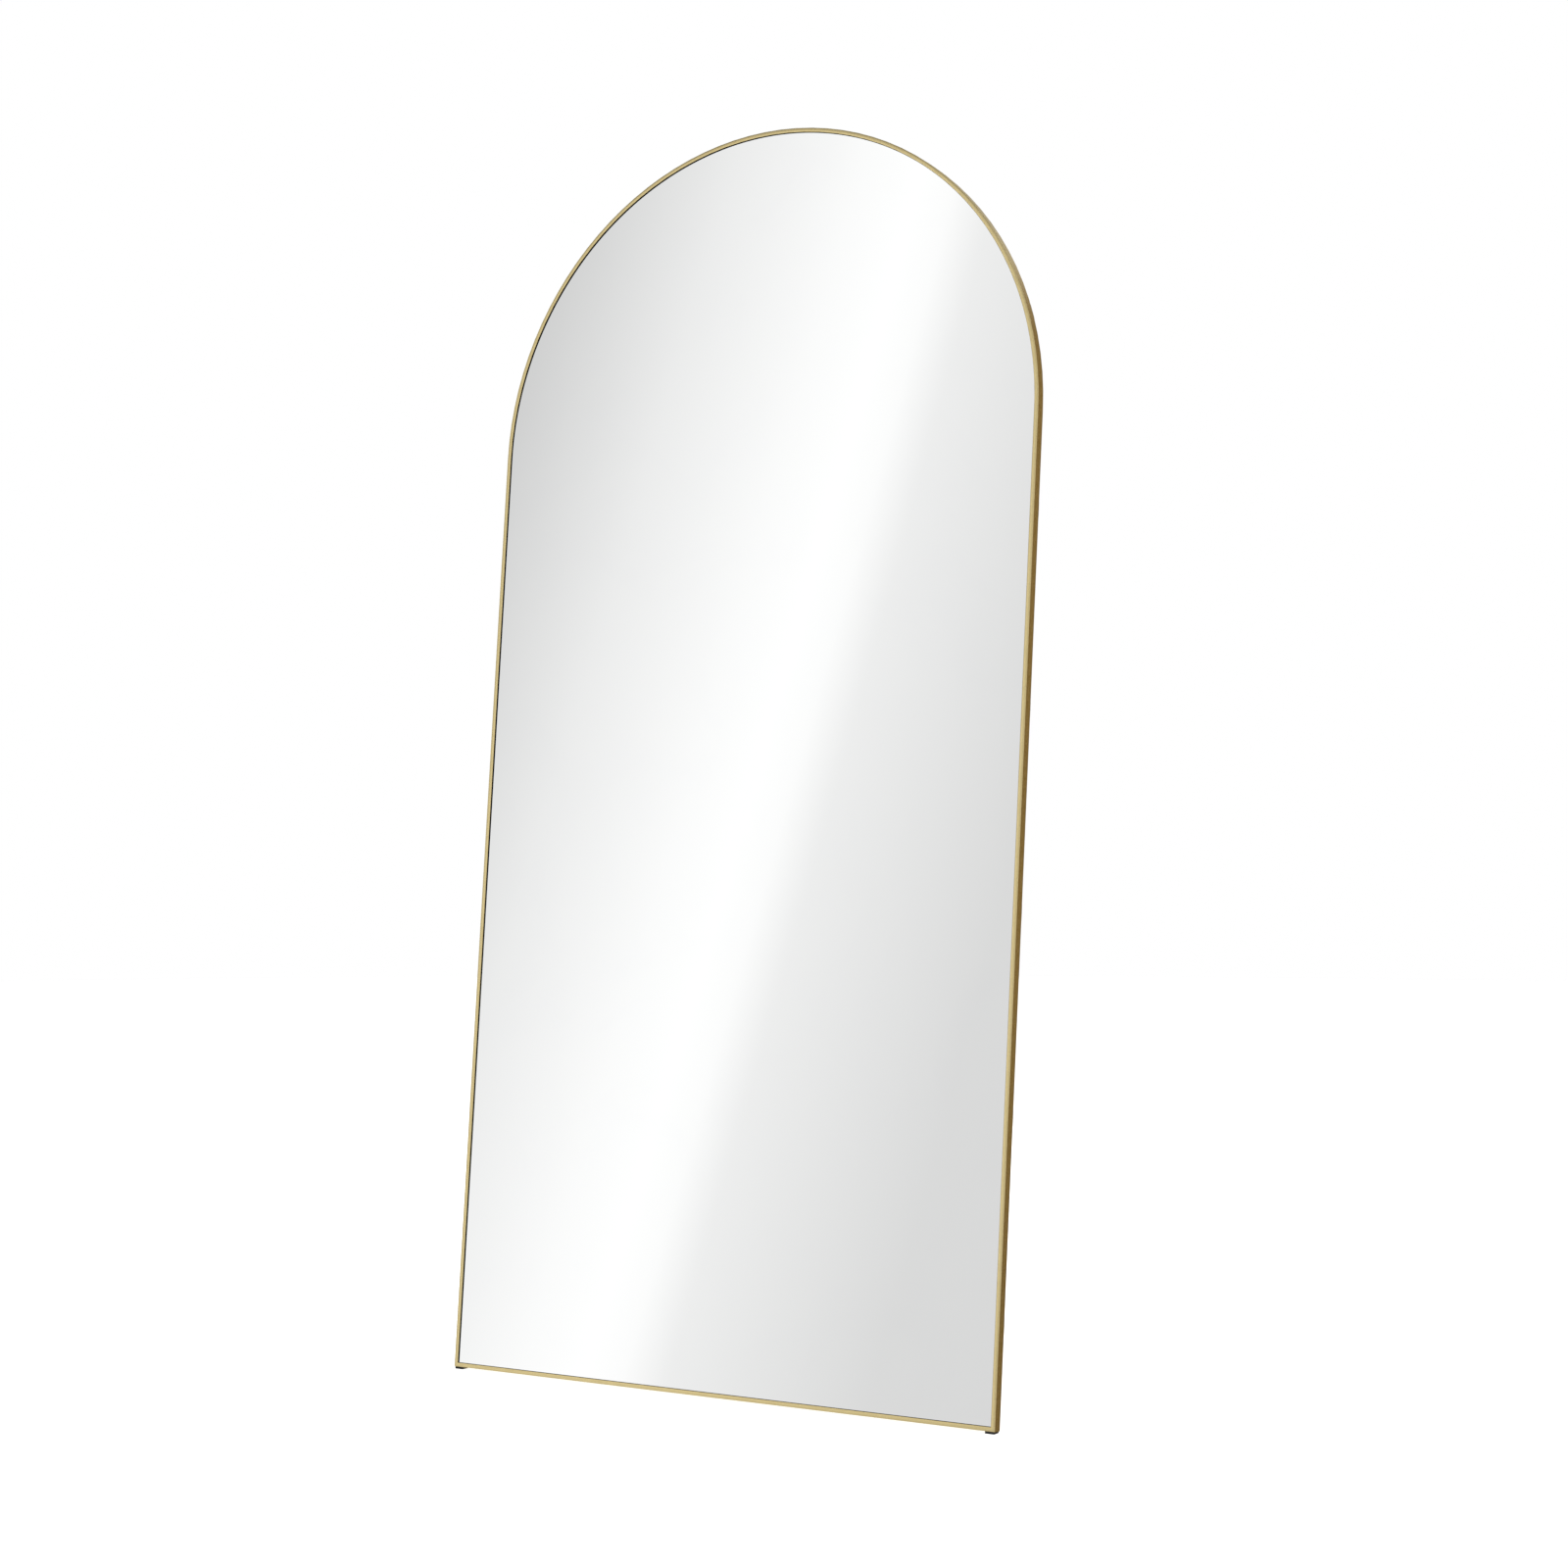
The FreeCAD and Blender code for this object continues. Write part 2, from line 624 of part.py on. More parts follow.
def make_corner_key(side):
    """Bar bent to a right angle that slides into the channels of hoop and sill."""
    name = f"{SIDE_NAMES[side]}_key"
    body = new_body(f"{name}_blank")
    front = f"({CHANNEL_FRONT} + {KEY_INSET})"
    outline = new_sketch(body, f"{name}_outline", "XZ_Plane", f"-{front}")
    edge = f"{side} * ({HALF_WIDTH} - {KEY_INSET})"
    inner = f"{side} * ({HALF_WIDTH} - {KEY_INSET} - {KEY_WIDTH})"
    tip = f"{side} * ({HALF_WIDTH} - sizes.key_arm)"
    draw_polygon(
        outline,
        [
            (edge, KEY_INSET),
            (edge, "sizes.key_arm"),
            (inner, "sizes.key_arm"),
            (inner, f"{KEY_INSET} + {KEY_WIDTH}"),
            (tip, f"{KEY_INSET} + {KEY_WIDTH}"),
            (tip, KEY_INSET),
        ],
    )
    add_pad(body, outline, f"{name}_pad", f"{FRAME_DEPTH} - {KEY_INSET} - {front}", reverse=True)
    return body


# ---------------------------------------------------------------- layers
def make_tape():
    """Upright strips of foam tape between the film and the board, cut to fit the arch."""
    body = new_body("tape")
    outline = new_sketch(body, "tape_outline", "XZ_Plane", f"-{FILM_BACK}")
    count = SIZES["tape_count"]
    inner_radius = f"({HALF_WIDTH} - {BOARD_INSET})"
    foot = f"({BOARD_INSET} + sizes.tape_end_margin)"
    pitch = "((sizes.mirror_width - 2 * sizes.tape_edge_inset) / (sizes.tape_count - 1))"
    for index in range(count):
        centre = f"({index - (count - 1) / 2} * {pitch})"
        reach = f"(abs({centre}) + sizes.tape_width / 2)"
        top = f"({SPRINGING} + sqrt({inner_radius} ^ 2 - {reach} ^ 2) - sizes.tape_end_margin)"
        left = f"{centre} - sizes.tape_width / 2"
        right = f"{centre} + sizes.tape_width / 2"
        draw_polygon(outline, [(left, foot), (right, foot), (right, top), (left, top)])
    add_pad(body, outline, "tape_pad", "sizes.tape_thickness", reverse=True)
    add_part("mounting_tape", body)


def make_setting_blocks():
    """Two blocks in the sill's groove that carry the lower edge of the glass."""
    body = new_body("blocks")
    outline = new_sketch(body, "blocks_outline", "XZ_Plane", f"-{GLASS_FRONT}")
    for side in (LEFT, RIGHT):
        middle = f"{side} * ({HALF_WIDTH} - sizes.block_edge_inset)"
        left = f"{middle} - sizes.block_length / 2"
        right = f"{middle} + sizes.block_length / 2"
        foot = "sizes.wall_thickness"
        draw_polygon(
            outline, [(left, foot), (right, foot), (right, GLASS_INSET), (left, GLASS_INSET)]
        )
    add_pad(body, outline, "blocks_pad", "sizes.glass_thickness", reverse=True)
    add_part("setting_blocks", body)


def make_clip():
    """Flat clip: X from the frame's outer edge inwards, Y along it, Z backwards."""
    body = new_body("clip")
    outline = new_sketch(body, "clip_outline", "XY_Plane")
    near = "sizes.clip_edge_inset"
    far = "(sizes.clip_edge_inset + sizes.clip_across)"
    half = "(sizes.clip_along / 2)"
    radius = "sizes.clip_corner_radius"
    corners = [(near, f"-{half}"), (far, f"-{half}"), (far, half), (near, half)]
    draw_square_outline(outline, [(x, y, radius) for x, y in corners])
    for inset in (CHANNEL_MIDDLE, CLIP_BOARD_SCREW_INSET):
        draw_circle(outline, inset, "0", "sizes.clip_screw_diameter + 2 * sizes.screw_hole_gap")
    add_pad(body, outline, "clip_pad", "sizes.clip_thickness")
    return body


# ---------------------------------------------------------------- hangers
def make_strap(side):
    """Sheet folded round the ring's bar, both layers screwed flat to the board below it."""
    name = f"{SIDE_NAMES[side]}_strap"
    body = new_body(name)
    centre = f"({side} * {HANGER_X})"
    left = f"{centre} - sizes.strap_width / 2"
    right = f"{centre} + sizes.strap_width / 2"
    foot = f"{HANGER_HEIGHT} - sizes.strap_length"
    plate = new_sketch(body, f"{name}_plate_outline", "XZ_Plane", f"-{FRAME_DEPTH}")
    radius = "sizes.strap_corner_radius"
    draw_square_outline(
        plate,
        [
            (left, foot, radius),
            (right, foot, radius),
            (right, HANGER_HEIGHT, "0"),
            (left, HANGER_HEIGHT, "0"),
        ],
    )
    for height in STRAP_SCREW_HEIGHTS:
        draw_circle(plate, centre, height, "sizes.strap_screw_diameter + 2 * sizes.screw_hole_gap")
    add_pad(body, plate, f"{name}_plate", "2 * sizes.strap_sheet", reverse=True)
    barrel = new_sketch(body, f"{name}_barrel_end", "YZ_Plane", centre)
    draw_circle(barrel, HINGE_DEPTH, HANGER_HEIGHT, f"2 * {BARREL_RADIUS}")
    add_pad(body, barrel, f"{name}_barrel", "sizes.strap_width", both_ways=True)
    bore = new_sketch(body, f"{name}_bore_end", "YZ_Plane", centre)
    draw_circle(bore, HINGE_DEPTH, HANGER_HEIGHT, "sizes.ring_wire + 2 * sizes.ring_play")
    add_pocket(body, bore, f"{name}_bore", both_ways=True)
    add_part(f"{SIDE_NAMES[side]}_hanger_strap", body)


def make_ring(side):
    """Wire ring hanging straight down from its bar, whose cut ends meet in the barrel."""
    name = f"{SIDE_NAMES[side]}_ring"
    body = new_body(name)
    wire_end = new_sketch(body, f"{name}_wire_end", "YZ_Plane", "sizes.ring_butt_gap / 2")
    draw_circle(wire_end, "0", "0", "sizes.ring_wire")

    half = number(RING_HALF_WIDTH)
    corner = number("sizes.ring_corner_radius")
    gap = number("sizes.ring_butt_gap / 2")
    bow_height = number(BOW_HEIGHT)
    quarter_turn = math.pi / 2
    path = new_sketch(body, f"{name}_path", "XZ_Plane")

    def line(x1, y1, x2, y2):
        return path.addGeometry(Part.LineSegment(Vector(x1, y1, 0), Vector(x2, y2, 0)), False)

    def arc(x, y, radius, start, end):
        circle = Part.Circle(Vector(x, y, 0), Vector(0, 0, 1), radius)
        return path.addGeometry(Part.ArcOfCircle(circle, start, end), False)

    right_bar = line(gap, 0, half - corner, 0)
    right_corner = arc(half - corner, -corner, corner, 0, quarter_turn)
    right_side = line(half, -corner, half, bow_height)
    bow = arc(0, bow_height, half, 2 * quarter_turn, 4 * quarter_turn)
    left_side = line(-half, bow_height, -half, -corner)
    left_corner = arc(corner - half, -corner, corner, quarter_turn, 2 * quarter_turn)
    left_bar = line(corner - half, 0, -gap, 0)
    joints = [
        (right_bar, 2, right_corner, 2),
        (right_corner, 1, right_side, 1),
        (right_side, 2, bow, 2),
        (bow, 1, left_side, 1),
        (left_side, 2, left_corner, 2),
        (left_corner, 1, left_bar, 1),
    ]
    for joint in joints:
        path.addConstraint(Sketcher.Constraint("Tangent", *joint))
    for bar, start in ((right_bar, 1), (left_bar, 2)):
        path.addConstraint(Sketcher.Constraint("Horizontal", bar))
        bind(path, "DistanceY", -1, 1, bar, start, to="0")
    bind(path, "DistanceX", -1, 1, right_bar, 1, to="sizes.ring_butt_gap / 2")
    bind(path, "DistanceX", -1, 1, left_bar, 2, to="-sizes.ring_butt_gap / 2")
    bind(path, "Radius", right_corner, to="sizes.ring_corner_radius")
    bind(path, "Radius", left_corner, to="sizes.ring_corner_radius")
    bind(path, "Radius", bow, to=RING_HALF_WIDTH)
    bind(path, "DistanceX", -1, 1, bow, 3, to="0")
    bind(path, "DistanceY", -1, 1, bow, 3, to=BOW_HEIGHT)

    wire = body.newObject("PartDesign::AdditivePipe", f"{name}_wire")
    wire.Profile = wire_end
    wire.Spine = (path, [])
    document.recompute()

    label = f"{SIDE_NAMES[side]}_hanger_ring"
    body.Label = label
    lean = "sizes.lean"
    body.setExpression("Placement.Base.x", f"{side} * {HANGER_X}")
    body.setExpression(
        "Placement.Base.y",
        f"{HANGER_HEIGHT} * sin({lean}) + {HINGE_DEPTH} * cos({lean}) - {OVERALL_DEPTH} / 2",
    )
    body.setExpression(
        "Placement.Base.z",
        f"{HANGER_HEIGHT} * cos({lean}) - {HINGE_DEPTH} * sin({lean}) + {LIFT}",
    )
    parts[label] = body


# ---------------------------------------------------------------- folding stand
def bracket_screw_places(side):
    """Screw seats at the four corners of a stand bracket's plate."""
    seat = number(f"{FRAME_DEPTH} + sizes.bracket_sheet")
    half_across = number("sizes.bracket_screw_across / 2")
    half_up = number("sizes.bracket_screw_up / 2")
    middle_x, middle_z = side * number(LEG_X), number(STAND_HINGE_HEIGHT)
    places = []
    for across in (-half_across, half_across):
        for up in (-half_up, half_up):
            point = Vector(middle_x + across, seat, middle_z + up)
            places.append(Placement(point, SCREW_UPRIGHT))
    return places


def make_bracket(side):
    """Plate screwed to the board, with two ears that hold the hinge pin."""
    name = f"{SIDE_NAMES[side]}_bracket"
    body = new_body(name)
    middle = f"({side} * {LEG_X})"
    left = f"{middle} - sizes.bracket_width / 2"
    right = f"{middle} + sizes.bracket_width / 2"
    low = f"{STAND_HINGE_HEIGHT} - sizes.bracket_height / 2"
    high = f"{STAND_HINGE_HEIGHT} + sizes.bracket_height / 2"
    plate = new_sketch(body, f"{name}_plate_outline", "XZ_Plane", f"-{FRAME_DEPTH}")
    corners = [(left, low), (right, low), (right, high), (left, high)]
    draw_square_outline(plate, [(x, z, "sizes.bracket_corner_radius") for x, z in corners])
    hole = "sizes.strap_screw_diameter + 2 * sizes.screw_hole_gap"
    for across in ("-sizes.bracket_screw_across / 2", "sizes.bracket_screw_across / 2"):
        for up in ("-sizes.bracket_screw_up / 2", "sizes.bracket_screw_up / 2"):
            draw_circle(plate, f"{middle} + {across}", f"{STAND_HINGE_HEIGHT} + {up}", hole)
    add_pad(body, plate, f"{name}_plate", "sizes.bracket_sheet", reverse=True)
    foot = f"{STAND_HINGE_HEIGHT} - sizes.ear_radius"
    top = f"{STAND_HINGE_HEIGHT} + sizes.ear_radius"
    for ear in (LEFT, RIGHT):
        ear_name = f"{name}_{SIDE_NAMES[ear]}_ear"
        ear_middle = f"{middle} + {ear} * {EAR_X}"
        web = new_sketch(body, f"{ear_name}_web_outline", "YZ_Plane", ear_middle)
        near, far = FRAME_DEPTH, STAND_HINGE_DEPTH
        draw_polygon(web, [(near, foot), (far, foot), (far, top), (near, top)])
        add_pad(body, web, f"{ear_name}_web", "sizes.bracket_sheet", both_ways=True)
        eye = new_sketch(body, f"{ear_name}_eye_outline", "YZ_Plane", ear_middle)
        draw_circle(eye, STAND_HINGE_DEPTH, STAND_HINGE_HEIGHT, "2 * sizes.ear_radius")
        add_pad(body, eye, f"{ear_name}_eye", "sizes.bracket_sheet", both_ways=True)
    bore = new_sketch(body, f"{name}_bore_end", "YZ_Plane", middle)
    pin_hole = "sizes.pin_diameter + 2 * sizes.screw_hole_gap"
    draw_circle(bore, STAND_HINGE_DEPTH, STAND_HINGE_HEIGHT, pin_hole)
    add_pocket(body, bore, f"{name}_bore", both_ways=True)
    add_part(f"{SIDE_NAMES[side]}_stand_bracket", body)


def make_pins():
    """Rivets through the brackets' ears and the tops of the legs."""
    body = new_body("pin")
    profile = new_sketch(body, "pin_profile", "XZ_Plane")
    radius, head = "sizes.pin_diameter / 2", "sizes.pin_head / 2"
    end = f"({PIN_HALF_SPAN} + sizes.pin_head_height)"
    draw_polygon(
        profile,
        [
            ("0", f"-{end}"),
            (head, f"-{end}"),
            (head, f"-{PIN_HALF_SPAN}"),
            (radius, f"-{PIN_HALF_SPAN}"),
            (radius, PIN_HALF_SPAN),
            (head, PIN_HALF_SPAN),
            (head, end),
            ("0", end),
        ],
    )
    turn_round(body, profile, "pin_turned")
    along_hinge = Rotation(Vector(0, 1, 0), 90)
    depth, height = number(STAND_HINGE_DEPTH), number(STAND_HINGE_HEIGHT)
    points = [Vector(side * number(LEG_X), depth, height) for side in (LEFT, RIGHT)]
    places = [Placement(point, along_hinge) for point in points]
    add_part("stand_hinge_pins", copies_at("pins", body.Shape, places))


def make_stand_frame():
    """Tube bent to a U, its legs up and its bar on the floor, drilled for the hinge pins."""
    body = new_body("stand_tube")
    tube_end = new_sketch(body, "stand_tube_end", "XY_Plane", STAND_HEAD)
    draw_circle(tube_end, f"-{LEG_X}", "0", "sizes.stand_tube")
    draw_circle(tube_end, f"-{LEG_X}", "0", STAND_BORE)
    path = new_sketch(body, "stand_path", "XZ_Plane")
    leg, drop = number(LEG_X), number(STAND_DROP)
    head, bend = number(STAND_HEAD), number("sizes.stand_bend_radius")
    quarter_turn = math.pi / 2

    def line(x1, y1, x2, y2):
        return path.addGeometry(Part.LineSegment(Vector(x1, y1, 0), Vector(x2, y2, 0)), False)

    def corner(x, start):
        circle = Part.Circle(Vector(x, bend - drop, 0), Vector(0, 0, 1), bend)
        return path.addGeometry(Part.ArcOfCircle(circle, start, start + quarter_turn), False)

    left_leg = line(-leg, head, -leg, bend - drop)
    left_bend = corner(bend - leg, 2 * quarter_turn)
    bar = line(bend - leg, -drop, leg - bend, -drop)
    right_bend = corner(leg - bend, 3 * quarter_turn)
    right_leg = line(leg, bend - drop, leg, head)
    joints = [
        (left_leg, 2, left_bend, 1),
        (left_bend, 2, bar, 1),
        (bar, 2, right_bend, 1),
        (right_bend, 2, right_leg, 1),
    ]
    for joint in joints:
        path.addConstraint(Sketcher.Constraint("Tangent", *joint))
    path.addConstraint(Sketcher.Constraint("Horizontal", bar))
    bind(path, "DistanceY", -1, 1, bar, 1, to=f"-{STAND_DROP}")
    for upright, end, side in ((left_leg, 1, LEFT), (right_leg, 2, RIGHT)):
        path.addConstraint(Sketcher.Constraint("Vertical", upright))
        place_point(path, upright, end, f"{side} * {LEG_X}", STAND_HEAD)
    for turn in (left_bend, right_bend):
        bind(path, "Radius", turn, to="sizes.stand_bend_radius")

    pipe = body.newObject("PartDesign::AdditivePipe", "stand_pipe")
    pipe.Profile = tube_end
    pipe.Spine = (path, [])
    document.recompute()
    bore = new_sketch(body, "stand_pin_bore", "YZ_Plane")
    draw_circle(bore, "0", "0", "sizes.pin_diameter + 2 * sizes.pin_play")
    add_pocket(body, bore, "stand_pin_holes", both_ways=True)
    add_part("stand_frame", body, place=swing_open)


def make_stand_feet():
    """Rubber sleeves on the stand's bar."""
    body = new_body("stand_sleeves")
    for side in (LEFT, RIGHT):
        middle = f"{side} * ({LEG_X} - sizes.stand_foot_inset)"
        ring = new_sketch(body, f"{SIDE_NAMES[side]}_sleeve_end", "YZ_Plane", middle)
        draw_circle(ring, "0", f"-{STAND_DROP}", f"2 * {STAND_FOOT_RADIUS}")
        draw_circle(ring, "0", f"-{STAND_DROP}", "sizes.stand_tube + 2 * sizes.stand_foot_gap")
        name = f"{SIDE_NAMES[side]}_sleeve"
        add_pad(body, ring, name, "sizes.stand_foot_length", both_ways=True)
    add_part("stand_feet", body, place=swing_open)


def make_stand_plugs():
    """Plastic plugs, flush in the open upper ends of the tube."""
    body = new_body("plugs")
    ends = new_sketch(body, "plug_ends", "XY_Plane", STAND_HEAD)
    for side in (LEFT, RIGHT):
        draw_circle(ends, f"{side} * {LEG_X}", "0", f"{STAND_BORE} - 2 * sizes.plug_gap")
    add_pad(body, ends, "plug_pad", "sizes.plug_length", reverse=True)
    add_part("stand_end_plugs", body, place=swing_open)


# ---------------------------------------------------------------- bumpers and feet
def make_bumper(side, level, x, z, meets_wall):
    """Rubber disc on the board, its screw sunk in it; the upper ones are cut to the wall."""
    name = f"{SIDE_NAMES[side]}_{level}_bumper"
    body = new_body(f"{name}_body")
    centre = f"{side} * {x}"
    round_face = new_sketch(body, f"{name}_round", "XZ_Plane", f"-{FRAME_DEPTH}")
    draw_circle(round_face, centre, z, "sizes.bumper_diameter")
    slope = "(sizes.bumper_diameter * tan(sizes.lean))"
    length = f"sizes.bumper_height + {slope}" if meets_wall else "sizes.bumper_height"
    add_pad(body, round_face, f"{name}_disc", length, reverse=True)
    if meets_wall:
        beyond = new_sketch(body, f"{name}_wall", "YZ_Plane")
        reach = "sizes.bumper_diameter"
        draw_polygon(
            beyond,
            [
                (f"{BUMPER_FACE} + {slope}", f"{z} - {reach}"),
                (f"{BUMPER_FACE} + {slope} + {reach}", f"{z} - {reach}"),
                (f"{BUMPER_FACE} + {slope} + {reach}", f"{z} + {reach}"),
                (f"{BUMPER_FACE} - {slope}", f"{z} + {reach}"),
            ],
        )
        add_pocket(body, beyond, f"{name}_wall_cut", both_ways=True)
    hole = new_sketch(body, f"{name}_hole", "XZ_Plane", f"-{FRAME_DEPTH}")
    draw_circle(hole, centre, z, "sizes.bumper_screw_diameter + 2 * sizes.screw_hole_gap")
    add_pocket(body, hole, f"{name}_hole_cut")
    sink = new_sketch(body, f"{name}_sink", "XZ_Plane", f"-({FRAME_DEPTH} + sizes.bumper_seat)")
    draw_circle(sink, centre, z, "sizes.bumper_screw_head + 2 * sizes.bumper_head_gap")
    add_pocket(body, sink, f"{name}_sink_cut")
    add_part(name, body)


def bumper_screw_places():
    seat = number(f"{FRAME_DEPTH} + sizes.bumper_seat")
    places = []
    for x, z in ((UPPER_BUMPER_X, UPPER_BUMPER_Z), (LOWER_BUMPER_X, LOWER_BUMPER_Z)):
        for side in (LEFT, RIGHT):
            places.append(Placement(Vector(side * number(x), seat, number(z)), SCREW_UPRIGHT))
    return places


def make_foot(side):
    """Rubber wedge glued under the sill, level where it meets the floor."""
    name = f"{SIDE_NAMES[side]}_foot"
    body = new_body(name)
    middle = f"{side} * ({HALF_WIDTH} - sizes.foot_setback - sizes.foot_length / 2)"
    wedge = new_sketch(body, f"{name}_wedge", "YZ_Plane", middle)
    front = "sizes.foot_setback"
    back = f"({FRAME_DEPTH} - sizes.foot_setback)"

    def floor_at(depth):
        return f"-(({LIFT} - {depth} * sin(sizes.lean)) / cos(sizes.lean))"

    draw_polygon(
        wedge,
        [(front, "0"), (front, floor_at(front)), (back, floor_at(back)), (back, "0")],
    )
    add_pad(body, wedge, f"{name}_pad", "sizes.foot_length", both_ways=True)
    add_part(f"{name}_pad", body)


# ---------------------------------------------------------------- the whole mirror
def make_mirror():
    key_screw = make_screw("key_screw")
    clip_screw = make_screw("clip_screw")
    strap_screw = make_screw("strap_screw")
    bumper_screw = make_screw("bumper_screw")

    frame_clip_places = clip_screw_places(CHANNEL_MIDDLE)
    board_clip_places = clip_screw_places(CLIP_BOARD_SCREW_INSET)
    all_key_places = key_screw_places(LEFT) + key_screw_places(RIGHT)
    key_holes = screw_holes("key_screw_holes", "key_screw", all_key_places)
    frame_clip_holes = screw_holes("frame_clip_holes", "clip_screw", frame_clip_places)
    board_clip_holes = screw_holes("board_clip_holes", "clip_screw", board_clip_places)
    bumper_holes = screw_holes("bumper_screw_holes", "bumper_screw", bumper_screw_places())
    all_strap_places = strap_screw_places(LEFT) + strap_screw_places(RIGHT)
    strap_holes = screw_holes("strap_screw_holes", "strap_screw", all_strap_places)
    all_bracket_places = bracket_screw_places(LEFT) + bracket_screw_places(RIGHT)
    bracket_holes = screw_holes("bracket_screw_holes", "strap_screw", all_bracket_places)

    drilled("frame_hoop", make_hoop(), [key_holes, frame_clip_holes])
    drilled("frame_sill", make_sill(), [key_holes, frame_clip_holes])
    for side in (LEFT, RIGHT):
        drilled(f"{SIDE_NAMES[side]}_corner_key", make_corner_key(side), [key_holes])

    strip_insets = ["(sizes.lip_width - sizes.strip_width)", "sizes.lip_width"]
    strip = pad_layer("strip", "sizes.lip_thickness", "sizes.strip_thickness", strip_insets)
    add_part("glazing_strip", strip)
    glass = pad_layer("glass", GLASS_FRONT, "sizes.glass_thickness", [GLASS_INSET])
    add_part("mirror_glass", glass)
    film = pad_layer("film", GLASS_BACK, "sizes.film_thickness", [GLASS_INSET])
    add_part("safety_film", film)
    make_tape()
    make_setting_blocks()
    board = pad_layer("board_blank", BOARD_FRONT, "sizes.board_thickness", [BOARD_INSET])
    board_holes = [board_clip_holes, strap_holes, bracket_holes, bumper_holes]
    drilled("backing_board", board, board_holes)

    add_part("corner_key_screws", copies_at("key_screws", key_screw.Shape, all_key_places))
    add_part("board_clips", copies_at("clips", make_clip().Shape, clip_places()))
    clip_seats = frame_clip_places + board_clip_places
    add_part("board_clip_screws", copies_at("clip_screws", clip_screw.Shape, clip_seats))

    for side in (LEFT, RIGHT):
        make_strap(side)
        make_ring(side)
        label = f"{SIDE_NAMES[side]}_hanger_screws"
        screws = copies_at(f"{label}_group", strap_screw.Shape, strap_screw_places(side))
        add_part(label, screws)
        make_bumper(side, "upper", UPPER_BUMPER_X, UPPER_BUMPER_Z, meets_wall=True)
        make_bumper(side, "lower", LOWER_BUMPER_X, LOWER_BUMPER_Z, meets_wall=False)
        make_foot(side)
        make_bracket(side)
    screws = copies_at("bumper_screw_group", bumper_screw.Shape, bumper_screw_places())
    add_part("bumper_screws", screws)
    screws = copies_at("bracket_screw_group", strap_screw.Shape, all_bracket_places)
    add_part("stand_bracket_screws", screws)
    make_pins()
    make_stand_frame()
    make_stand_feet()
    make_stand_plugs()


def check_model():
    """Stops if any feature failed or any sub-part isn't a valid solid."""
    for feature in document.Objects:
        if {"Invalid", "Error"} & set(feature.State):
            raise ValueError(f"{feature.Name} failed: {feature.State}")
    for label, piece in parts.items():
        if piece.Shape.isNull() or not piece.Shape.isValid() or not piece.Shape.Solids:
            raise ValueError(f"{label} isn't a valid solid")


def write_parts():
    os.makedirs("parts", exist_ok=True)
    for label, piece in parts.items():
        piece.Shape.exportStep(f"parts/{label}.step")
        print(f"{label}: {len(piece.Shape.Solids)} solids, {piece.Shape.Volume / 1000:.2f} cm3")


make_mirror()
document.recompute()
check_model()
write_parts()
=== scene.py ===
# %% [markdown]
# # An arched floor mirror
#
# The construction comes packed: every rail, clip and hinge is already in place at its real size.
# This lesson dresses it. It gives each piece its finish, makes the small repeated hardware with
# Geometry Nodes, and lights the mirror so that its glass shows one long soft band.

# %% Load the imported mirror
import json
import math

import bmesh
import bpy
from mathutils import Euler, Matrix, Vector

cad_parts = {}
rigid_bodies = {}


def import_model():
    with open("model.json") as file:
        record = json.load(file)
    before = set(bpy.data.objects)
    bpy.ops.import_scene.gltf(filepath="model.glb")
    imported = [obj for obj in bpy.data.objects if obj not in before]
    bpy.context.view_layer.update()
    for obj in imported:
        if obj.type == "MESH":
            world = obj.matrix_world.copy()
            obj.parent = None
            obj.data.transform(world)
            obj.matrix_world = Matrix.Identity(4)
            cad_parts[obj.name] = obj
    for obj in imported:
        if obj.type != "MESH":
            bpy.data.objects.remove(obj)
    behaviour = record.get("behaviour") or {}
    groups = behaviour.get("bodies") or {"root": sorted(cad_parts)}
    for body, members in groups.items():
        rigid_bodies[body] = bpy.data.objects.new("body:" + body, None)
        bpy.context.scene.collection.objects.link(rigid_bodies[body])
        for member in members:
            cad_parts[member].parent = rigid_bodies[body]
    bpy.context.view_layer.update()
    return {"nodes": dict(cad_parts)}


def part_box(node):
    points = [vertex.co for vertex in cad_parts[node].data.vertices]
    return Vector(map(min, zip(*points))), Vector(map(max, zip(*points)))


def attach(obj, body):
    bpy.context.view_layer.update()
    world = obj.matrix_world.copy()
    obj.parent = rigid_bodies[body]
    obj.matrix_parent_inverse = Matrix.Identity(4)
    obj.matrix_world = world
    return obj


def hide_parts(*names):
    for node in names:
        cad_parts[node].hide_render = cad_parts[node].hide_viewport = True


for leftover in list(bpy.data.objects):
    bpy.data.objects.remove(leftover, do_unlink=True)
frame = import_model()
nodes = frame["nodes"]

# %% [markdown]
# The mirror leans back, so its flat faces follow no axis of the world. Its own axes make the work
# simple: X across, Y backwards from the front face, Z up from its lower edge. A single matrix
# turns them into the world's, and pieces are drawn flat and then leaned. Turning each object
# would look the same here, but finished objects have to stay unturned at the origin.

# %% The mirror's own axes
MM = 0.001
LEAN = math.radians(5.4)
FRAME_DEPTH = 15 * MM
FOOT_THICKNESS = 2 * MM
back_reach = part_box("stand_feet")[1].y
FRONT_EDGE = Vector((0, -back_reach, FOOT_THICKNESS + FRAME_DEPTH * math.sin(LEAN)))
TO_WORLD = Matrix.Translation(FRONT_EDGE) @ Matrix.Rotation(-LEAN, 4, "X")
TO_MIRROR = TO_WORLD.inverted()
HALF_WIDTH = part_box("frame_hoop")[1].x
hoop_points = [TO_MIRROR @ vertex.co for vertex in nodes["frame_hoop"].data.vertices]
SPRINGING = max(point.z for point in hoop_points) - HALF_WIDTH
print(f"half width {HALF_WIDTH:.4f} m, arch springs at {SPRINGING:.4f} m")

# %% [markdown]
# A material is a small graph. Most of the work in making one is adding a node, setting its
# values and joining its sockets, so one helper does all three. It serves the geometry trees too.

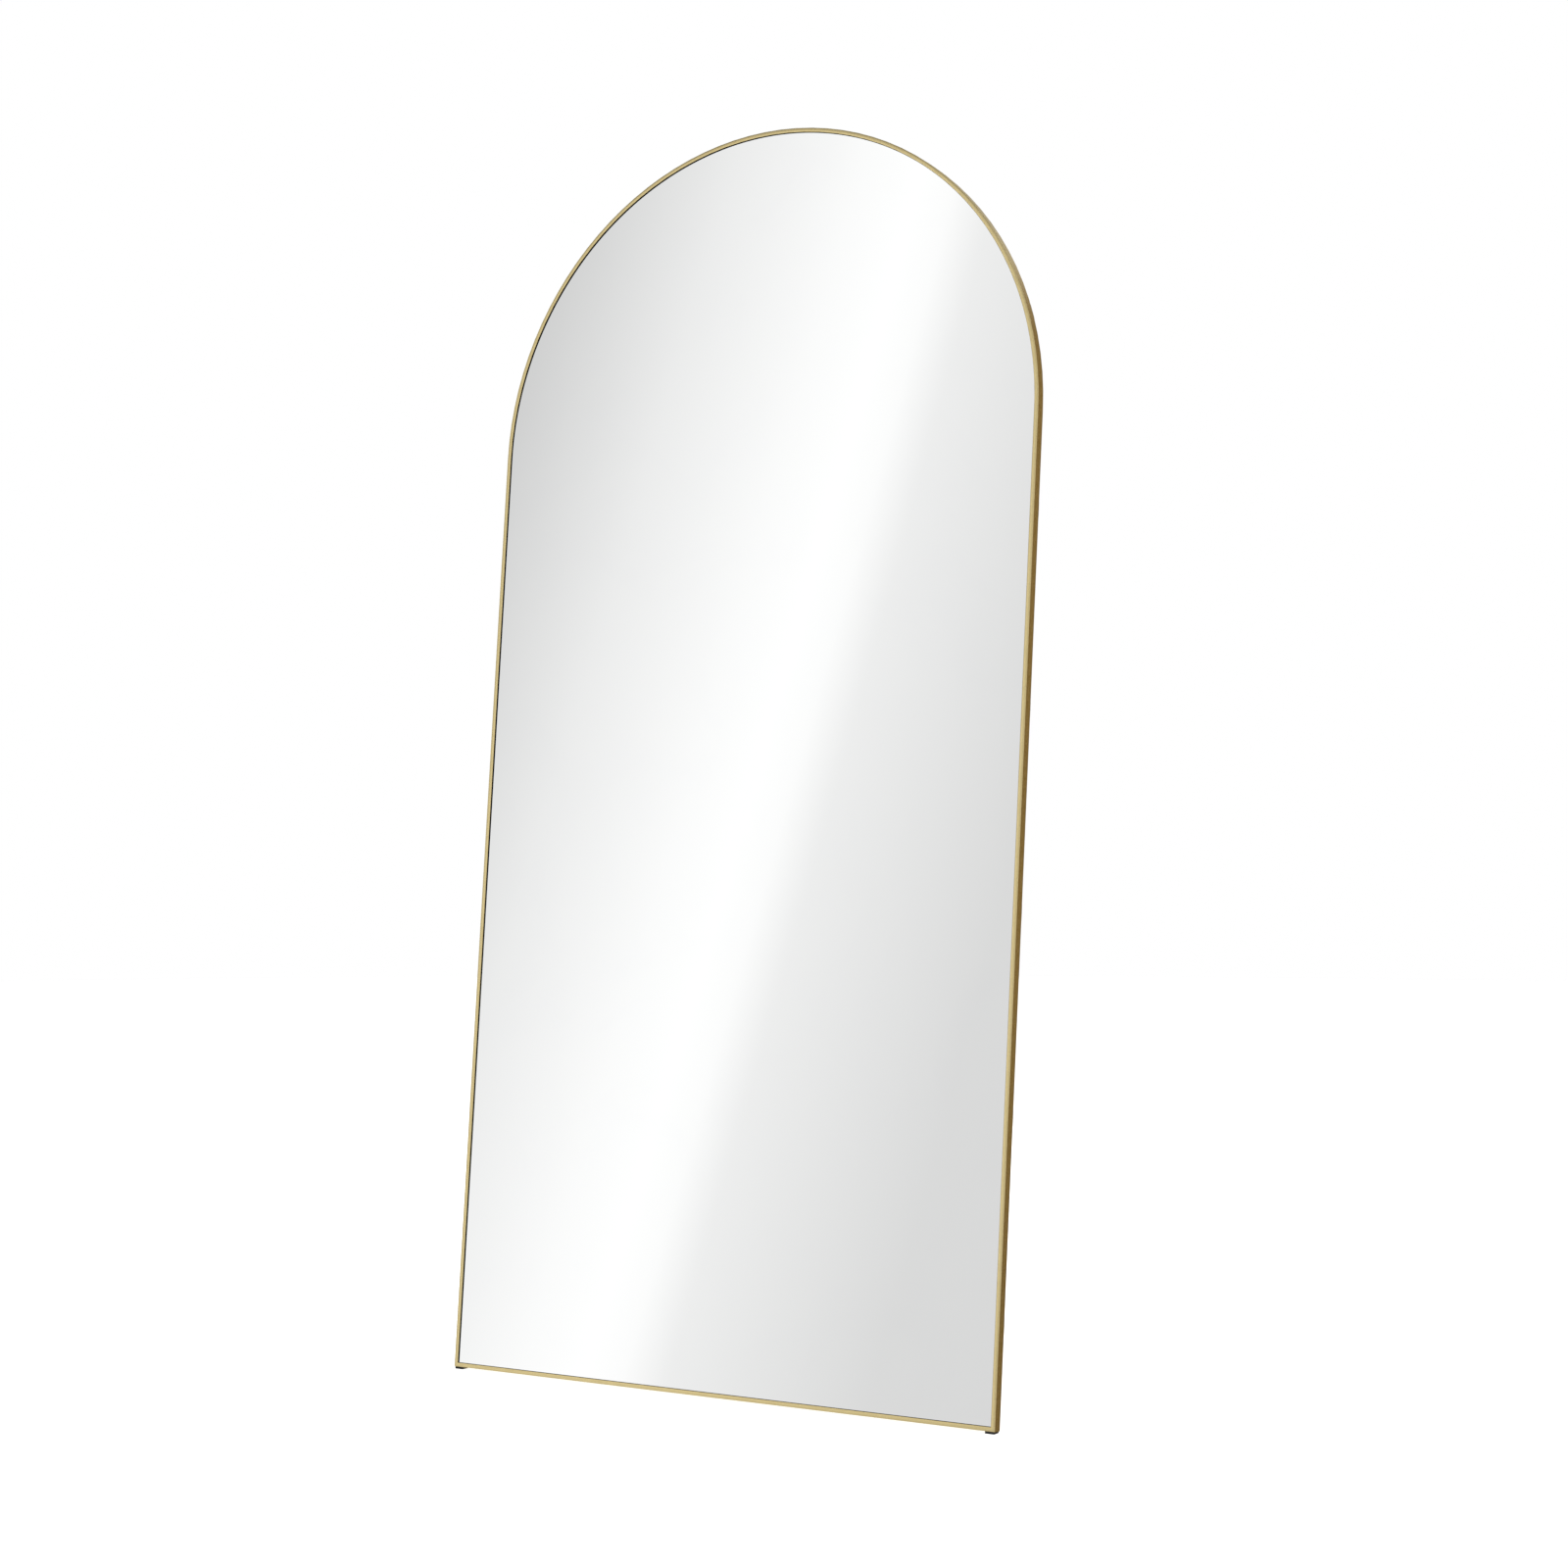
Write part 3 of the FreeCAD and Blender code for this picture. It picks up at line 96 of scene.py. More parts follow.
# %% Helpers that add nodes
def feed(tree, node, values):
    """Links the inputs that are given a socket, and sets those given anything else."""
    for key, value in values.items():
        if isinstance(value, bpy.types.NodeSocket):
            tree.links.new(value, node.inputs[key])
        else:
            node.inputs[key].default_value = value
    return node


def add_node(tree, kind, inputs=None, **settings):
    made = tree.nodes.new(kind)
    for name, value in settings.items():
        setattr(made, name, value)
    return feed(tree, made, inputs or {})


def calculate(tree, operation, first, second=0.0, third=0.0):
    inputs = {0: first, 1: second, 2: third}
    return add_node(tree, "ShaderNodeMath", inputs, operation=operation).outputs[0]


def stepped(tree, value, low, high, to_low=0.0, to_high=1.0):
    """Maps a value from one range to another with soft ends."""
    inputs = {
        "Value": value,
        "From Min": low,
        "From Max": high,
        "To Min": to_low,
        "To Max": to_high,
    }
    made = add_node(tree, "ShaderNodeMapRange", inputs, interpolation_type="SMOOTHSTEP")
    return made.outputs["Result"]


def blend_colours(tree, factor, first, second):
    inputs = {0: factor, 6: first, 7: second}
    return add_node(tree, "ShaderNodeMix", inputs, data_type="RGBA").outputs[2]


def new_group(name, inputs, outputs):
    """Shader group with named float, vector or colour sockets."""
    group = bpy.data.node_groups.new(name, "ShaderNodeTree")
    for label, kind, default in inputs:
        made = group.interface.new_socket(label, in_out="INPUT", socket_type=f"NodeSocket{kind}")
        made.default_value = default
    for label, kind in outputs:
        group.interface.new_socket(label, in_out="OUTPUT", socket_type=f"NodeSocket{kind}")
    return group, group.nodes.new("NodeGroupInput"), group.nodes.new("NodeGroupOutput")


def use_group(tree, group, inputs=None):
    return add_node(tree, "ShaderNodeGroup", inputs, node_tree=group)


print("node helpers ready")

# %% [markdown]
# Brushing on a bent rail follows the rail: up the legs, round the arch and along the sill. A
# pattern on plain X, Y and Z would run straight across the arch. This group works out how far a
# point lies in from the outline and how far along it, so that streaks can follow the metal.

# %% Group: place on the outline
def object_place(tree):
    """Each point's place in the object's own coordinates."""
    return add_node(tree, "ShaderNodeTexCoord").outputs["Object"]


def make_outline_group():
    outputs = [("Inset", "Float"), ("Along", "Float"), ("Depth", "Float"), ("Mitre", "Float")]
    group, _, out = new_group("place_on_outline", [], outputs)
    inputs = {0: object_place(group), 1: FRONT_EDGE}
    moved = add_node(group, "ShaderNodeVectorMath", inputs, operation="SUBTRACT")
    inputs = {"Vector": moved.outputs[0], "Angle": LEAN}
    turned = add_node(group, "ShaderNodeVectorRotate", inputs, rotation_type="X_AXIS")
    split = add_node(group, "ShaderNodeSeparateXYZ", {0: turned.outputs[0]})
    across, depth, height = split.outputs
    side = calculate(group, "ABSOLUTE", across)
    above = calculate(group, "MAXIMUM", calculate(group, "SUBTRACT", height, SPRINGING), 0.0)
    above_squared = calculate(group, "MULTIPLY", above, above)
    reach = calculate(group, "SQRT", calculate(group, "MULTIPLY_ADD", side, side, above_squared))
    from_side = calculate(group, "SUBTRACT", HALF_WIDTH, reach)
    inset = calculate(group, "MINIMUM", from_side, height)
    turn = calculate(group, "ARCTAN2", above, side)
    leg = calculate(group, "MINIMUM", height, SPRINGING)
    up_and_over = calculate(group, "MULTIPLY_ADD", turn, HALF_WIDTH, leg)
    on_sill = calculate(group, "LESS_THAN", height, from_side)
    swapped = calculate(group, "SUBTRACT", across, up_and_over)
    along = calculate(group, "MULTIPLY_ADD", on_sill, swapped, up_and_over)
    mitre = calculate(group, "ABSOLUTE", calculate(group, "SUBTRACT", height, from_side))
    feed(group, out, {"Inset": inset, "Along": along, "Depth": depth, "Mitre": mitre})
    return group


OUTLINE = make_outline_group()
print("group", OUTLINE.name)

# %% [markdown]
# Brushed, rolled and drawn metals share one look: fine lines that run one way. The group takes
# any coordinate that is stretched along the lines and gives a streak value and a bumped normal.
# Dust is shared as well. It settles on what faces up and breaks up in soft patches. Noise keeps
# near a half, so each pattern is stretched from a wide or a narrow step about its middle.

# %% Groups: streaks, speckle and dust
WIDE_STEP, NARROW_STEP = (0.3, 0.7), (0.35, 0.65)
STREAK_DETAIL, STREAK_DEPTH = 5.0, 0.05 * MM
SPECKLE_DETAIL, SPECKLE_DEPTH = 3.0, 0.1 * MM
PATCH_SCALE, PATCH_DETAIL = 14.0, 4.0
DUST_SCALE, DUST_DETAIL, DUST_STEP = 60.0, 6.0, (0.35, 0.75)
LYING_STEP = (0.3, 0.95)
DUST_COLOUR = (0.48, 0.45, 0.4, 1)


def noise(tree, place, scale, detail, distortion=0.0):
    inputs = {"Vector": place, "Scale": scale, "Detail": detail, "Distortion": distortion}
    return add_node(tree, "ShaderNodeTexNoise", inputs).outputs[0]


def bumped(tree, height, strength, depth):
    inputs = {"Height": height, "Strength": strength, "Distance": depth}
    return add_node(tree, "ShaderNodeBump", inputs).outputs[0]


def make_streak_group():
    inputs = [
        ("Vector", "Vector", (0, 0, 0)),
        ("Fineness", "Float", 1.0),
        ("Height", "Float", 0.1),
    ]
    outputs = [("Streak", "Float"), ("Normal", "Vector")]
    group, given, out = new_group("fine_streaks", inputs, outputs)
    fine = noise(group, given.outputs["Vector"], given.outputs["Fineness"], STREAK_DETAIL)
    streak = stepped(group, fine, *WIDE_STEP)
    normal = bumped(group, streak, given.outputs["Height"], STREAK_DEPTH)
    feed(group, out, {"Streak": streak, "Normal": normal})
    return group


def make_speckle_group():
    inputs = [("Size", "Float", 1 * MM), ("Height", "Float", 0.2)]
    outputs = [("Speckle", "Float"), ("Patch", "Float"), ("Normal", "Vector")]
    group, given, out = new_group("moulded_speckle", inputs, outputs)
    place = object_place(group)
    scale = calculate(group, "DIVIDE", 1.0, given.outputs["Size"])
    fine = noise(group, place, scale, SPECKLE_DETAIL)
    broad = noise(group, place, PATCH_SCALE, PATCH_DETAIL)
    speckle = stepped(group, fine, *NARROW_STEP)
    patch = stepped(group, broad, *NARROW_STEP)
    normal = bumped(group, fine, given.outputs["Height"], SPECKLE_DEPTH)
    feed(group, out, {"Speckle": speckle, "Patch": patch, "Normal": normal})
    return group


def make_dust_group():
    inputs = [("Amount", "Float", 0.3)]
    group, given, out = new_group("settled_dust", inputs, [("Dust", "Float")])
    coordinates = add_node(group, "ShaderNodeTexCoord").outputs
    up = add_node(group, "ShaderNodeSeparateXYZ", {0: coordinates["Normal"]}).outputs[2]
    patches = noise(group, coordinates["Object"], DUST_SCALE, DUST_DETAIL)
    broken = stepped(group, patches, *DUST_STEP)
    lying = calculate(group, "MULTIPLY", stepped(group, up, *LYING_STEP), broken)
    feed(group, out, {"Dust": calculate(group, "MULTIPLY", lying, given.outputs["Amount"])})
    return group


STREAKS = make_streak_group()
SPECKLE = make_speckle_group()
DUST = make_dust_group()
print("groups", STREAKS.name, SPECKLE.name, DUST.name)

# %% [markdown]
# The frame is the one piece whose colour carries the picture: a pale, slightly green gold, as
# anodised aluminium has. It could be painted as a flat yellow metal, but real anodising is dyed
# after brushing, so fine lines stay in it and the tone drifts a little over a long rail. The
# front of the lip is crowned by a hair, which a Bump node tells from the distance to the edge,
# so one half of each rail is lighter than the other. The two lower corners are sawn at 45
# degrees, and the saw line shows as a hairline.

# %% Frame metal
PALE_GOLD = (0.97, 0.8, 0.41, 1)
DEEP_GOLD = (0.88, 0.705, 0.335, 1)
SAW_LINE = (0.1, 0.075, 0.035, 1)
SAW_LINE_HALF_WIDTH = 0.09 * MM
LIP_WIDTH = 6 * MM
CROWN_SLOPE = math.tan(math.radians(7))
BRUSH_STRETCH, BRUSH_FINENESS, BRUSH_HEIGHT = 0.012, 4200.0, 0.12
DRIFT_SCALE, DRIFT_DETAIL = 3.0, 2.0
BRUSH_SHARE, DRIFT_SHARE = 0.35, 0.35
FRAME_DUST, FRAME_ROUGHNESS = 0.12, (0.24, 0.36)


def new_material(name, roughness=0.5, metallic=0.0):
    material = bpy.data.materials.new(name)
    material.use_nodes = True
    tree = material.node_tree
    inputs = {"Roughness": roughness, "Metallic": metallic}
    print("material", material.name)
    return material, tree, feed(tree, tree.nodes["Principled BSDF"], inputs)


def weighed(tree, first, first_share, second, second_share):
    """Adds two patterns, each by its share."""
    part = calculate(tree, "MULTIPLY", first, first_share)
    return calculate(tree, "MULTIPLY_ADD", second, second_share, part)


def dusted(tree, shader, colour, amount):
    """Puts dust over a colour, on its way to the shader."""
    dust = use_group(tree, DUST, {"Amount": amount}).outputs["Dust"]
    feed(tree, shader, {"Base Color": blend_colours(tree, dust, colour, DUST_COLOUR)})


def make_frame_metal():
    material, tree, shader = new_material("frame_metal", metallic=1.0)
    place = use_group(tree, OUTLINE).outputs
    stretch = calculate(tree, "MULTIPLY", place["Along"], BRUSH_STRETCH)
    inputs = {0: place["Inset"], 1: place["Depth"], 2: stretch}
    lines = add_node(tree, "ShaderNodeCombineXYZ", inputs).outputs[0]
    inputs = {"Vector": lines, "Fineness": BRUSH_FINENESS, "Height": BRUSH_HEIGHT}
    brushed = use_group(tree, STREAKS, inputs).outputs
    drift = noise(tree, object_place(tree), DRIFT_SCALE, DRIFT_DETAIL)
    tone = weighed(tree, brushed["Streak"], BRUSH_SHARE, drift, DRIFT_SHARE)
    gold = blend_colours(tree, tone, PALE_GOLD, DEEP_GOLD)
    saw = stepped(tree, place["Mitre"], SAW_LINE_HALF_WIDTH, 0.0)
    dusted(tree, shader, blend_colours(tree, saw, gold, SAW_LINE), FRAME_DUST)
    rough = stepped(tree, brushed["Streak"], 0.0, 1.0, *FRAME_ROUGHNESS)
    from_middle = calculate(tree, "SUBTRACT", place["Inset"], LIP_WIDTH / 2)
    squared = calculate(tree, "MULTIPLY", from_middle, from_middle)
    height = calculate(tree, "MULTIPLY", squared, -CROWN_SLOPE / LIP_WIDTH)
    inputs = {"Height": height, "Distance": 1.0, "Normal": brushed["Normal"]}
    crown = add_node(tree, "ShaderNodeBump", inputs).outputs[0]
    feed(tree, shader, {"Roughness": rough, "Normal": crown})
    return material


FRAME_METAL = make_frame_metal()

# %% [markdown]
# Silvered glass reflects nearly all the light with hardly any tint. A perfect mirror is one
# number, but a real pane carries traces of wiping: faint soft arcs that roughen it by a hair.

# %% Mirror glass
SILVER = (0.955, 0.96, 0.957, 1)
SILVER_WIPED = (0.948, 0.953, 0.952, 1)
WIPE_SCALE, WIPE_DETAIL, WIPE_CURL = 5.0, 5.0, 1.6
WIPE_STEP, WIPE_ROUGHNESS = (0.45, 0.75), 0.012


def make_mirror_glass():
    material, tree, shader = new_material("mirror_silvered", metallic=1.0)
    wiping = noise(tree, object_place(tree), WIPE_SCALE, WIPE_DETAIL, WIPE_CURL)
    trace = stepped(tree, wiping, *WIPE_STEP)
    colour = blend_colours(tree, trace, SILVER, SILVER_WIPED)
    rough = stepped(tree, trace, 0.0, 1.0, 0.0, WIPE_ROUGHNESS)
    feed(tree, shader, {"Base Color": colour, "Roughness": rough})
    return material


MIRROR_GLASS = make_mirror_glass()

# %% [markdown]
# The hidden metals are mill aluminium and zinc plated steel. Zinc is cool grey with a cloudy
# bloom. One recipe makes them all, with its own colour and grain for each.

# %% Plain metals
DRAWN, EVEN = (1, 1, 0.05), (1, 1, 1)
GRAIN_HEIGHT, GRAIN_SHARE = 0.15, 0.3
CLOUD_SCALE, CLOUD_DETAIL, CLOUD_SHARE = 160.0, 4.0, 0.6
SMOOTHER, ROUGHER = 0.06, 0.1
METAL_DUST = 0.2
MILL, MILL_DULL = (0.76, 0.76, 0.77, 1), (0.64, 0.64, 0.66, 1)
ZINC, ZINC_DULL = (0.82, 0.83, 0.83, 1), (0.66, 0.68, 0.7, 1)
BRIGHT_WIRE, BRIGHT_SCREW = (0.85, 0.86, 0.86, 1), (0.86, 0.86, 0.85, 1)


def stretched(tree, place, scale):
    inputs = {"Vector": place, "Scale": scale}
    return add_node(tree, "ShaderNodeMapping", inputs).outputs[0]


def make_plain_metal(name, bright, dull, roughness, fineness, stretch=DRAWN):
    """Metal with one grain direction, cloudy between two tones."""
    material, tree, shader = new_material(name, metallic=1.0)
    place = object_place(tree)
    lines = stretched(tree, place, stretch)
    inputs = {"Vector": lines, "Fineness": fineness, "Height": GRAIN_HEIGHT}
    grain = use_group(tree, STREAKS, inputs).outputs
    cloud = noise(tree, place, CLOUD_SCALE, CLOUD_DETAIL)
    bloom = stepped(tree, cloud, *NARROW_STEP)
    tone = weighed(tree, grain["Streak"], GRAIN_SHARE, bloom, CLOUD_SHARE)
    dusted(tree, shader, blend_colours(tree, tone, bright, dull), METAL_DUST)
    rough = stepped(tree, cloud, *WIDE_STEP, roughness - SMOOTHER, roughness + ROUGHER)
    feed(tree, shader, {"Roughness": rough, "Normal": grain["Normal"]})
    return material


KEY_METAL = make_plain_metal("key_metal", MILL, MILL_DULL, 0.3, 900.0)
CLIP_STEEL = make_plain_metal("clip_steel", ZINC, ZINC_DULL, 0.34, 700.0)
HANGER_STEEL = make_plain_metal("hanger_steel", ZINC, ZINC_DULL, 0.3, 800.0)
RING_STEEL = make_plain_metal("ring_steel", BRIGHT_WIRE, ZINC_DULL, 0.22, 500.0, EVEN)
SCREW_STEEL = make_plain_metal("screw_steel", BRIGHT_SCREW, ZINC_DULL, 0.24, 1500.0, EVEN)

# %% [markdown]
# Rubber, plastic and powder coat are all dark and differ in their skin. Rubber is dull with a
# fine bloom, and powder coat is a satin film with a slight orange peel.

# %% Dark skins
SKIN_SPREAD = 0.07


def make_dark_skin(name, dark, bloom, roughness, grain_size, height, dust=0.35, gloss=0.5):
    material, tree, shader = new_material(name)
    skin = use_group(tree, SPECKLE, {"Size": grain_size, "Height": height}).outputs
    mixed = calculate(tree, "MULTIPLY", skin["Patch"], skin["Speckle"])
    dusted(tree, shader, blend_colours(tree, mixed, dark, bloom), dust)
    ends = (roughness - SKIN_SPREAD, roughness + SKIN_SPREAD)
    rough = stepped(tree, skin["Patch"], 0.0, 1.0, *ends)
    inputs = {"Specular IOR Level": gloss, "Roughness": rough, "Normal": skin["Normal"]}
    feed(tree, shader, inputs)
    return material


BLACK, BLOOM = (0.012, 0.012, 0.012, 1), (0.035, 0.034, 0.033, 1)
JET, JET_BLOOM = (0.003, 0.0025, 0.002, 1), (0.008, 0.007, 0.005, 1)
COAT, COAT_PEEL = (0.018, 0.018, 0.019, 1), (0.026, 0.026, 0.027, 1)
# The jet black rubber dresses only the glazing strip, whose nose over the lip's inner edge is
# painted shade.
BLACK_RUBBER_AND_SHADE = make_dark_skin("black_rubber", JET, JET_BLOOM, 0.8, 0.4 * MM, 0.1, 0.0, gloss=0.1)
BLOCK_RUBBER = make_dark_skin("block_rubber", BLACK, BLOOM, 0.7, 0.6 * MM, 0.25)
BUMPER_RUBBER = make_dark_skin("bumper_rubber", BLACK, BLOOM, 0.64, 0.5 * MM, 0.3)
FOOT_RUBBER = make_dark_skin("foot_rubber", BLACK, BLOOM, 0.72, 0.7 * MM, 0.35, 0.5, gloss=0.3)
STAND_STEEL = make_dark_skin("stand_steel", COAT, COAT_PEEL, 0.42, 0.9 * MM, 0.5)
PLUG_PLASTIC = make_dark_skin("plug_plastic", BLACK, BLOOM, 0.5, 0.3 * MM, 0.15)

# %% [markdown]
# The back is a sealed fibreboard: short brown fibres pressed flat, darker where the seal is
# thick. Behind the glass lie a grey film and strips of pale foam. The closed mirror hides them,
# but a shared part may be taken apart, so they get their own finish too.

# %% Board, film and foam
LIGHT_FIBRE, FIBRE = (0.33, 0.22, 0.13, 1), (0.2, 0.125, 0.068, 1)
THICK_SEAL, PALE_FLECK = (0.14, 0.085, 0.046, 1), (0.46, 0.33, 0.2, 1)
FIBRE_STRETCH, FIBRE_SCALE, FIBRE_DETAIL, FIBRE_CURL = (1.0, 1.0, 0.35), 900.0, 6.0, 0.8
SEAL_SCALE, SEAL_DETAIL, SEAL_STEP, SEAL_SHARE = 4.5, 5.0, (0.4, 0.75), 0.3
FLECK_SCALE, FLECK_STEP, FLECK_SHARE = 420.0, (0.16, 0.05), 0.4
BOARD_DUST, BOARD_ROUGHNESS, BOARD_HEIGHT = 0.25, (0.62, 0.46), 0.25
FILM, FILM_SHADE, FILM_CELL = (0.12, 0.13, 0.15, 1), (0.09, 0.1, 0.12, 1), 2.5 * MM
FOAM, FOAM_SHADE, FOAM_CELL = (0.75, 0.74, 0.71, 1), (0.6, 0.59, 0.56, 1), 0.8 * MM
CELL_STEP, CELL_HEIGHT = (0.2, 0.7), 0.3
LAYER_DEPTH = 0.1 * MM


def cells(tree, place, scale):
    inputs = {"Vector": place, "Scale": scale}
    return add_node(tree, "ShaderNodeTexVoronoi", inputs).outputs["Distance"]


def make_board():
    material, tree, shader = new_material("board_fibre")
    place = object_place(tree)
    strands = stretched(tree, place, FIBRE_STRETCH)
    fibre = noise(tree, strands, FIBRE_SCALE, FIBRE_DETAIL, FIBRE_CURL)
    seal = noise(tree, place, SEAL_SCALE, SEAL_DETAIL)
    brown = blend_colours(tree, stepped(tree, fibre, *WIDE_STEP), LIGHT_FIBRE, FIBRE)
    sealed = stepped(tree, seal, *SEAL_STEP, 0.0, SEAL_SHARE)
    brown = blend_colours(tree, sealed, brown, THICK_SEAL)
    flecks = cells(tree, strands, FLECK_SCALE)
    fleck = stepped(tree, flecks, *FLECK_STEP, 0.0, FLECK_SHARE)
    dusted(tree, shader, blend_colours(tree, fleck, brown, PALE_FLECK), BOARD_DUST)
    rough = stepped(tree, seal, *WIDE_STEP, *BOARD_ROUGHNESS)
    normal = bumped(tree, fibre, BOARD_HEIGHT, LAYER_DEPTH)
    feed(tree, shader, {"Roughness": rough, "Normal": normal})
    return material


def make_layer(name, light, shade, cell, roughness):
    """Film or foam: small cells between two tones."""
    material, tree, shader = new_material(name, roughness=roughness)
    mixed = stepped(tree, cells(tree, object_place(tree), 1 / cell), *CELL_STEP)
    colour = blend_colours(tree, mixed, light, shade)
    normal = bumped(tree, mixed, CELL_HEIGHT, LAYER_DEPTH)
    feed(tree, shader, {"Base Color": colour, "Normal": normal})
    return material


BOARD_FIBRE = make_board()
FILM_GREY = make_layer("film_grey", FILM, FILM_SHADE, FILM_CELL, 0.4)
FOAM_TAPE = make_layer("foam_tape", FOAM, FOAM_SHADE, FOAM_CELL, 0.85)

# %% [markdown]
# Pieces whose solid is already right keep it and only change their material. That covers the
# flat ones: the glass, the layers behind it, the keys and the blocks.

# %% Dress the pieces that stay
FINISHES = {
    "left_corner_key": KEY_METAL,
    "right_corner_key": KEY_METAL,
    "mirror_glass": MIRROR_GLASS,
    "safety_film": FILM_GREY,
    "mounting_tape": FOAM_TAPE,
    "setting_blocks": BLOCK_RUBBER,
    "backing_board": BOARD_FIBRE,
    "stand_end_plugs": PLUG_PLASTIC,
}
for name, material in FINISHES.items():
    nodes[name].data.materials.clear()
    nodes[name].data.materials.append(material)
print(f"{len(FINISHES)} nodes dressed")

# %% [markdown]
# Curved metal shows its making by how light runs along it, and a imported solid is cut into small
# flat faces. A merged copy can be shaded smooth. Plain smoothing would bend the light on the
# flats beside each small round, so a Weighted Normal modifier gives the flats their own way.

# %% Meshes, objects and finished pieces
MERGE_WITHIN = 0.001 * MM
SHARP_ABOVE, ROUND_ABOVE = math.radians(35), math.radians(40)
FLAT_WITHIN = math.radians(0.5)


def joined_shape(mesh):
    """A bmesh of the mesh, with the corners of its loose triangles joined."""
    shape = bmesh.new()
    shape.from_mesh(mesh)
    bmesh.ops.remove_doubles(shape, verts=shape.verts, dist=MERGE_WITHIN)
    return shape


def plain_mesh(shape, name):
    """The bmesh as a mesh of its own; the bmesh is freed."""
    mesh = bpy.data.meshes.new(name)
    shape.to_mesh(mesh)
    shape.free()
    return mesh


def merged_copy(node, dissolve=False):
    """The node's solid with its triangles joined, and flat ones made whole if asked."""
    shape = joined_shape(nodes[node].data)
    if dissolve:
        parts = {"verts": shape.verts, "edges": shape.edges}
        bmesh.ops.dissolve_limit(shape, angle_limit=FLAT_WITHIN, **parts)
    return plain_mesh(shape, f"{node}_merged")


def evaluated_mesh(thing):
    """A plain mesh of an object with its modifiers worked out."""
    seen = thing.evaluated_get(bpy.context.evaluated_depsgraph_get())
    return bpy.data.meshes.new_from_object(seen)


def link_object(name, data):
    made = bpy.data.objects.new(name, data)
    bpy.context.scene.collection.objects.link(made)
    return made


def finish_piece(mesh, name, material, body, slot, replaced, rounding=0, segments=2):
    """Makes a mesh a finished piece at the origin, with an optional round on its edges."""
    shape = joined_shape(mesh)
    bmesh.ops.recalc_face_normals(shape, faces=shape.faces)
    for face in shape.faces:
        face.smooth = True
        face.material_index = 0
    shape.to_mesh(mesh)
    shape.free()
    mesh.set_sharp_from_angle(angle=SHARP_ABOVE)
    mesh.materials.clear()
    mesh.materials.append(material)
    piece = link_object(name, mesh)
    if rounding:
        bevel = piece.modifiers.new("rounded", "BEVEL")
        bevel.width = rounding
        bevel.segments = segments
        bevel.limit_method = "ANGLE"
        bevel.angle_limit = ROUND_ABOVE
    piece.modifiers.new("level_flats", "WEIGHTED_NORMAL").keep_sharp = True
    finished = evaluated_mesh(piece)
    piece.modifiers.clear()
    piece.data = finished
    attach(piece, body)
    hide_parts(*replaced)
    print(f"{name}: {len(finished.polygons)} faces on {body}")


# %% Smooth copies
SMOOTH_COPIES = {
    "frame_hoop": (FRAME_METAL, "mirror_frame", "frame_metal"),
    "frame_sill": (FRAME_METAL, "mirror_frame", "frame_metal"),
    "left_hanger_ring": (RING_STEEL, "left_ring", "ring_steel"),
    "right_hanger_ring": (RING_STEEL, "right_ring", "ring_steel"),
    "stand_frame": (STAND_STEEL, "stand", "stand_steel"),
}
for node, (material, body, slot) in SMOOTH_COPIES.items():
    finish_piece(merged_copy(node), f"{node}_smooth", material, body, slot, [node])

# %% [markdown]
# Small parts straight from construction have knife edges, and light finds none of them. Moulded
# rubber and folded sheet have a tiny round on each edge. A Bevel modifier on a merged copy puts
# it there, and because a bevel only takes away, the piece keeps its size.

# %% Pieces that gain rounded edges
ROUNDED_PIECES = {
    "upper_bumper": (BUMPER_RUBBER, "bumper_rubber", 0.6 * MM, 3),
    "lower_bumper": (BUMPER_RUBBER, "bumper_rubber", 0.6 * MM, 3),
    "foot_pad": (FOOT_RUBBER, "foot_rubber", 0.25 * MM, 3),
    "hanger_strap": (HANGER_STEEL, "hanger_steel", 0.2 * MM, 2),
    "stand_bracket": (STAND_STEEL, "stand_steel", 0.3 * MM, 2),
}
for side in ("left", "right"):
    for piece, (material, slot, rounding, segments) in ROUNDED_PIECES.items():
        node = f"{side}_{piece}"
        mesh, name = merged_copy(node, dissolve=True), f"{node}_rounded"
        finish_piece(mesh, name, material, "mirror_frame", slot, [node], rounding, segments)

# %% [markdown]
# A black rubber strip holds the glass off the lip. Its nose is drawn over the lip's inner edge,
# where there is only the metal's shade, so this black nose is painted shade: it and its own
# reflection make the fine dark line inside the frame on the far side. The strip's section is
# drawn once as points of inset and depth, and each point becomes a whole arch. Sweeping a profile
# along a path would pinch it at the square corners, and this doesn't.

# %% Glazing strip, with a nose of painted shade
ARCH_STEPS = 180
STRIP_SECTION = [
    (2.8 * MM, 1.2 * MM),
    (6.03 * MM, 1.2 * MM),
    # These points form the nose over the lip's inner edge: black rubber put where the reveal lies
    # in shade, as painted shade.
    (6.03 * MM, 0.45 * MM),
    (6.12 * MM, 0.3 * MM),
    (6.25 * MM, 0.35 * MM),
    (6.3 * MM, 0.55 * MM),
    (6.3 * MM, 2 * MM),
    (2.8 * MM, 2 * MM),
]


def arch_points(inset, depth):
    """The mirror's outline moved inwards, as points from the left foot round to the right."""
    radius = HALF_WIDTH - inset
    points = [Vector((-radius, depth, inset))]
    for step in range(ARCH_STEPS + 1):
        angle = math.pi * (1 - step / ARCH_STEPS)
        height = SPRINGING + radius * math.sin(angle)
        points.append(Vector((radius * math.cos(angle), depth, height)))
    points.append(Vector((radius, depth, inset)))
    return points


def bridge(shape, ring, beside):
    """Joins two rings of as many points by a band of faces."""
    for index in range(len(ring)):
        onward = (index + 1) % len(ring)
        shape.faces.new((ring[index], ring[onward], beside[onward], beside[index]))


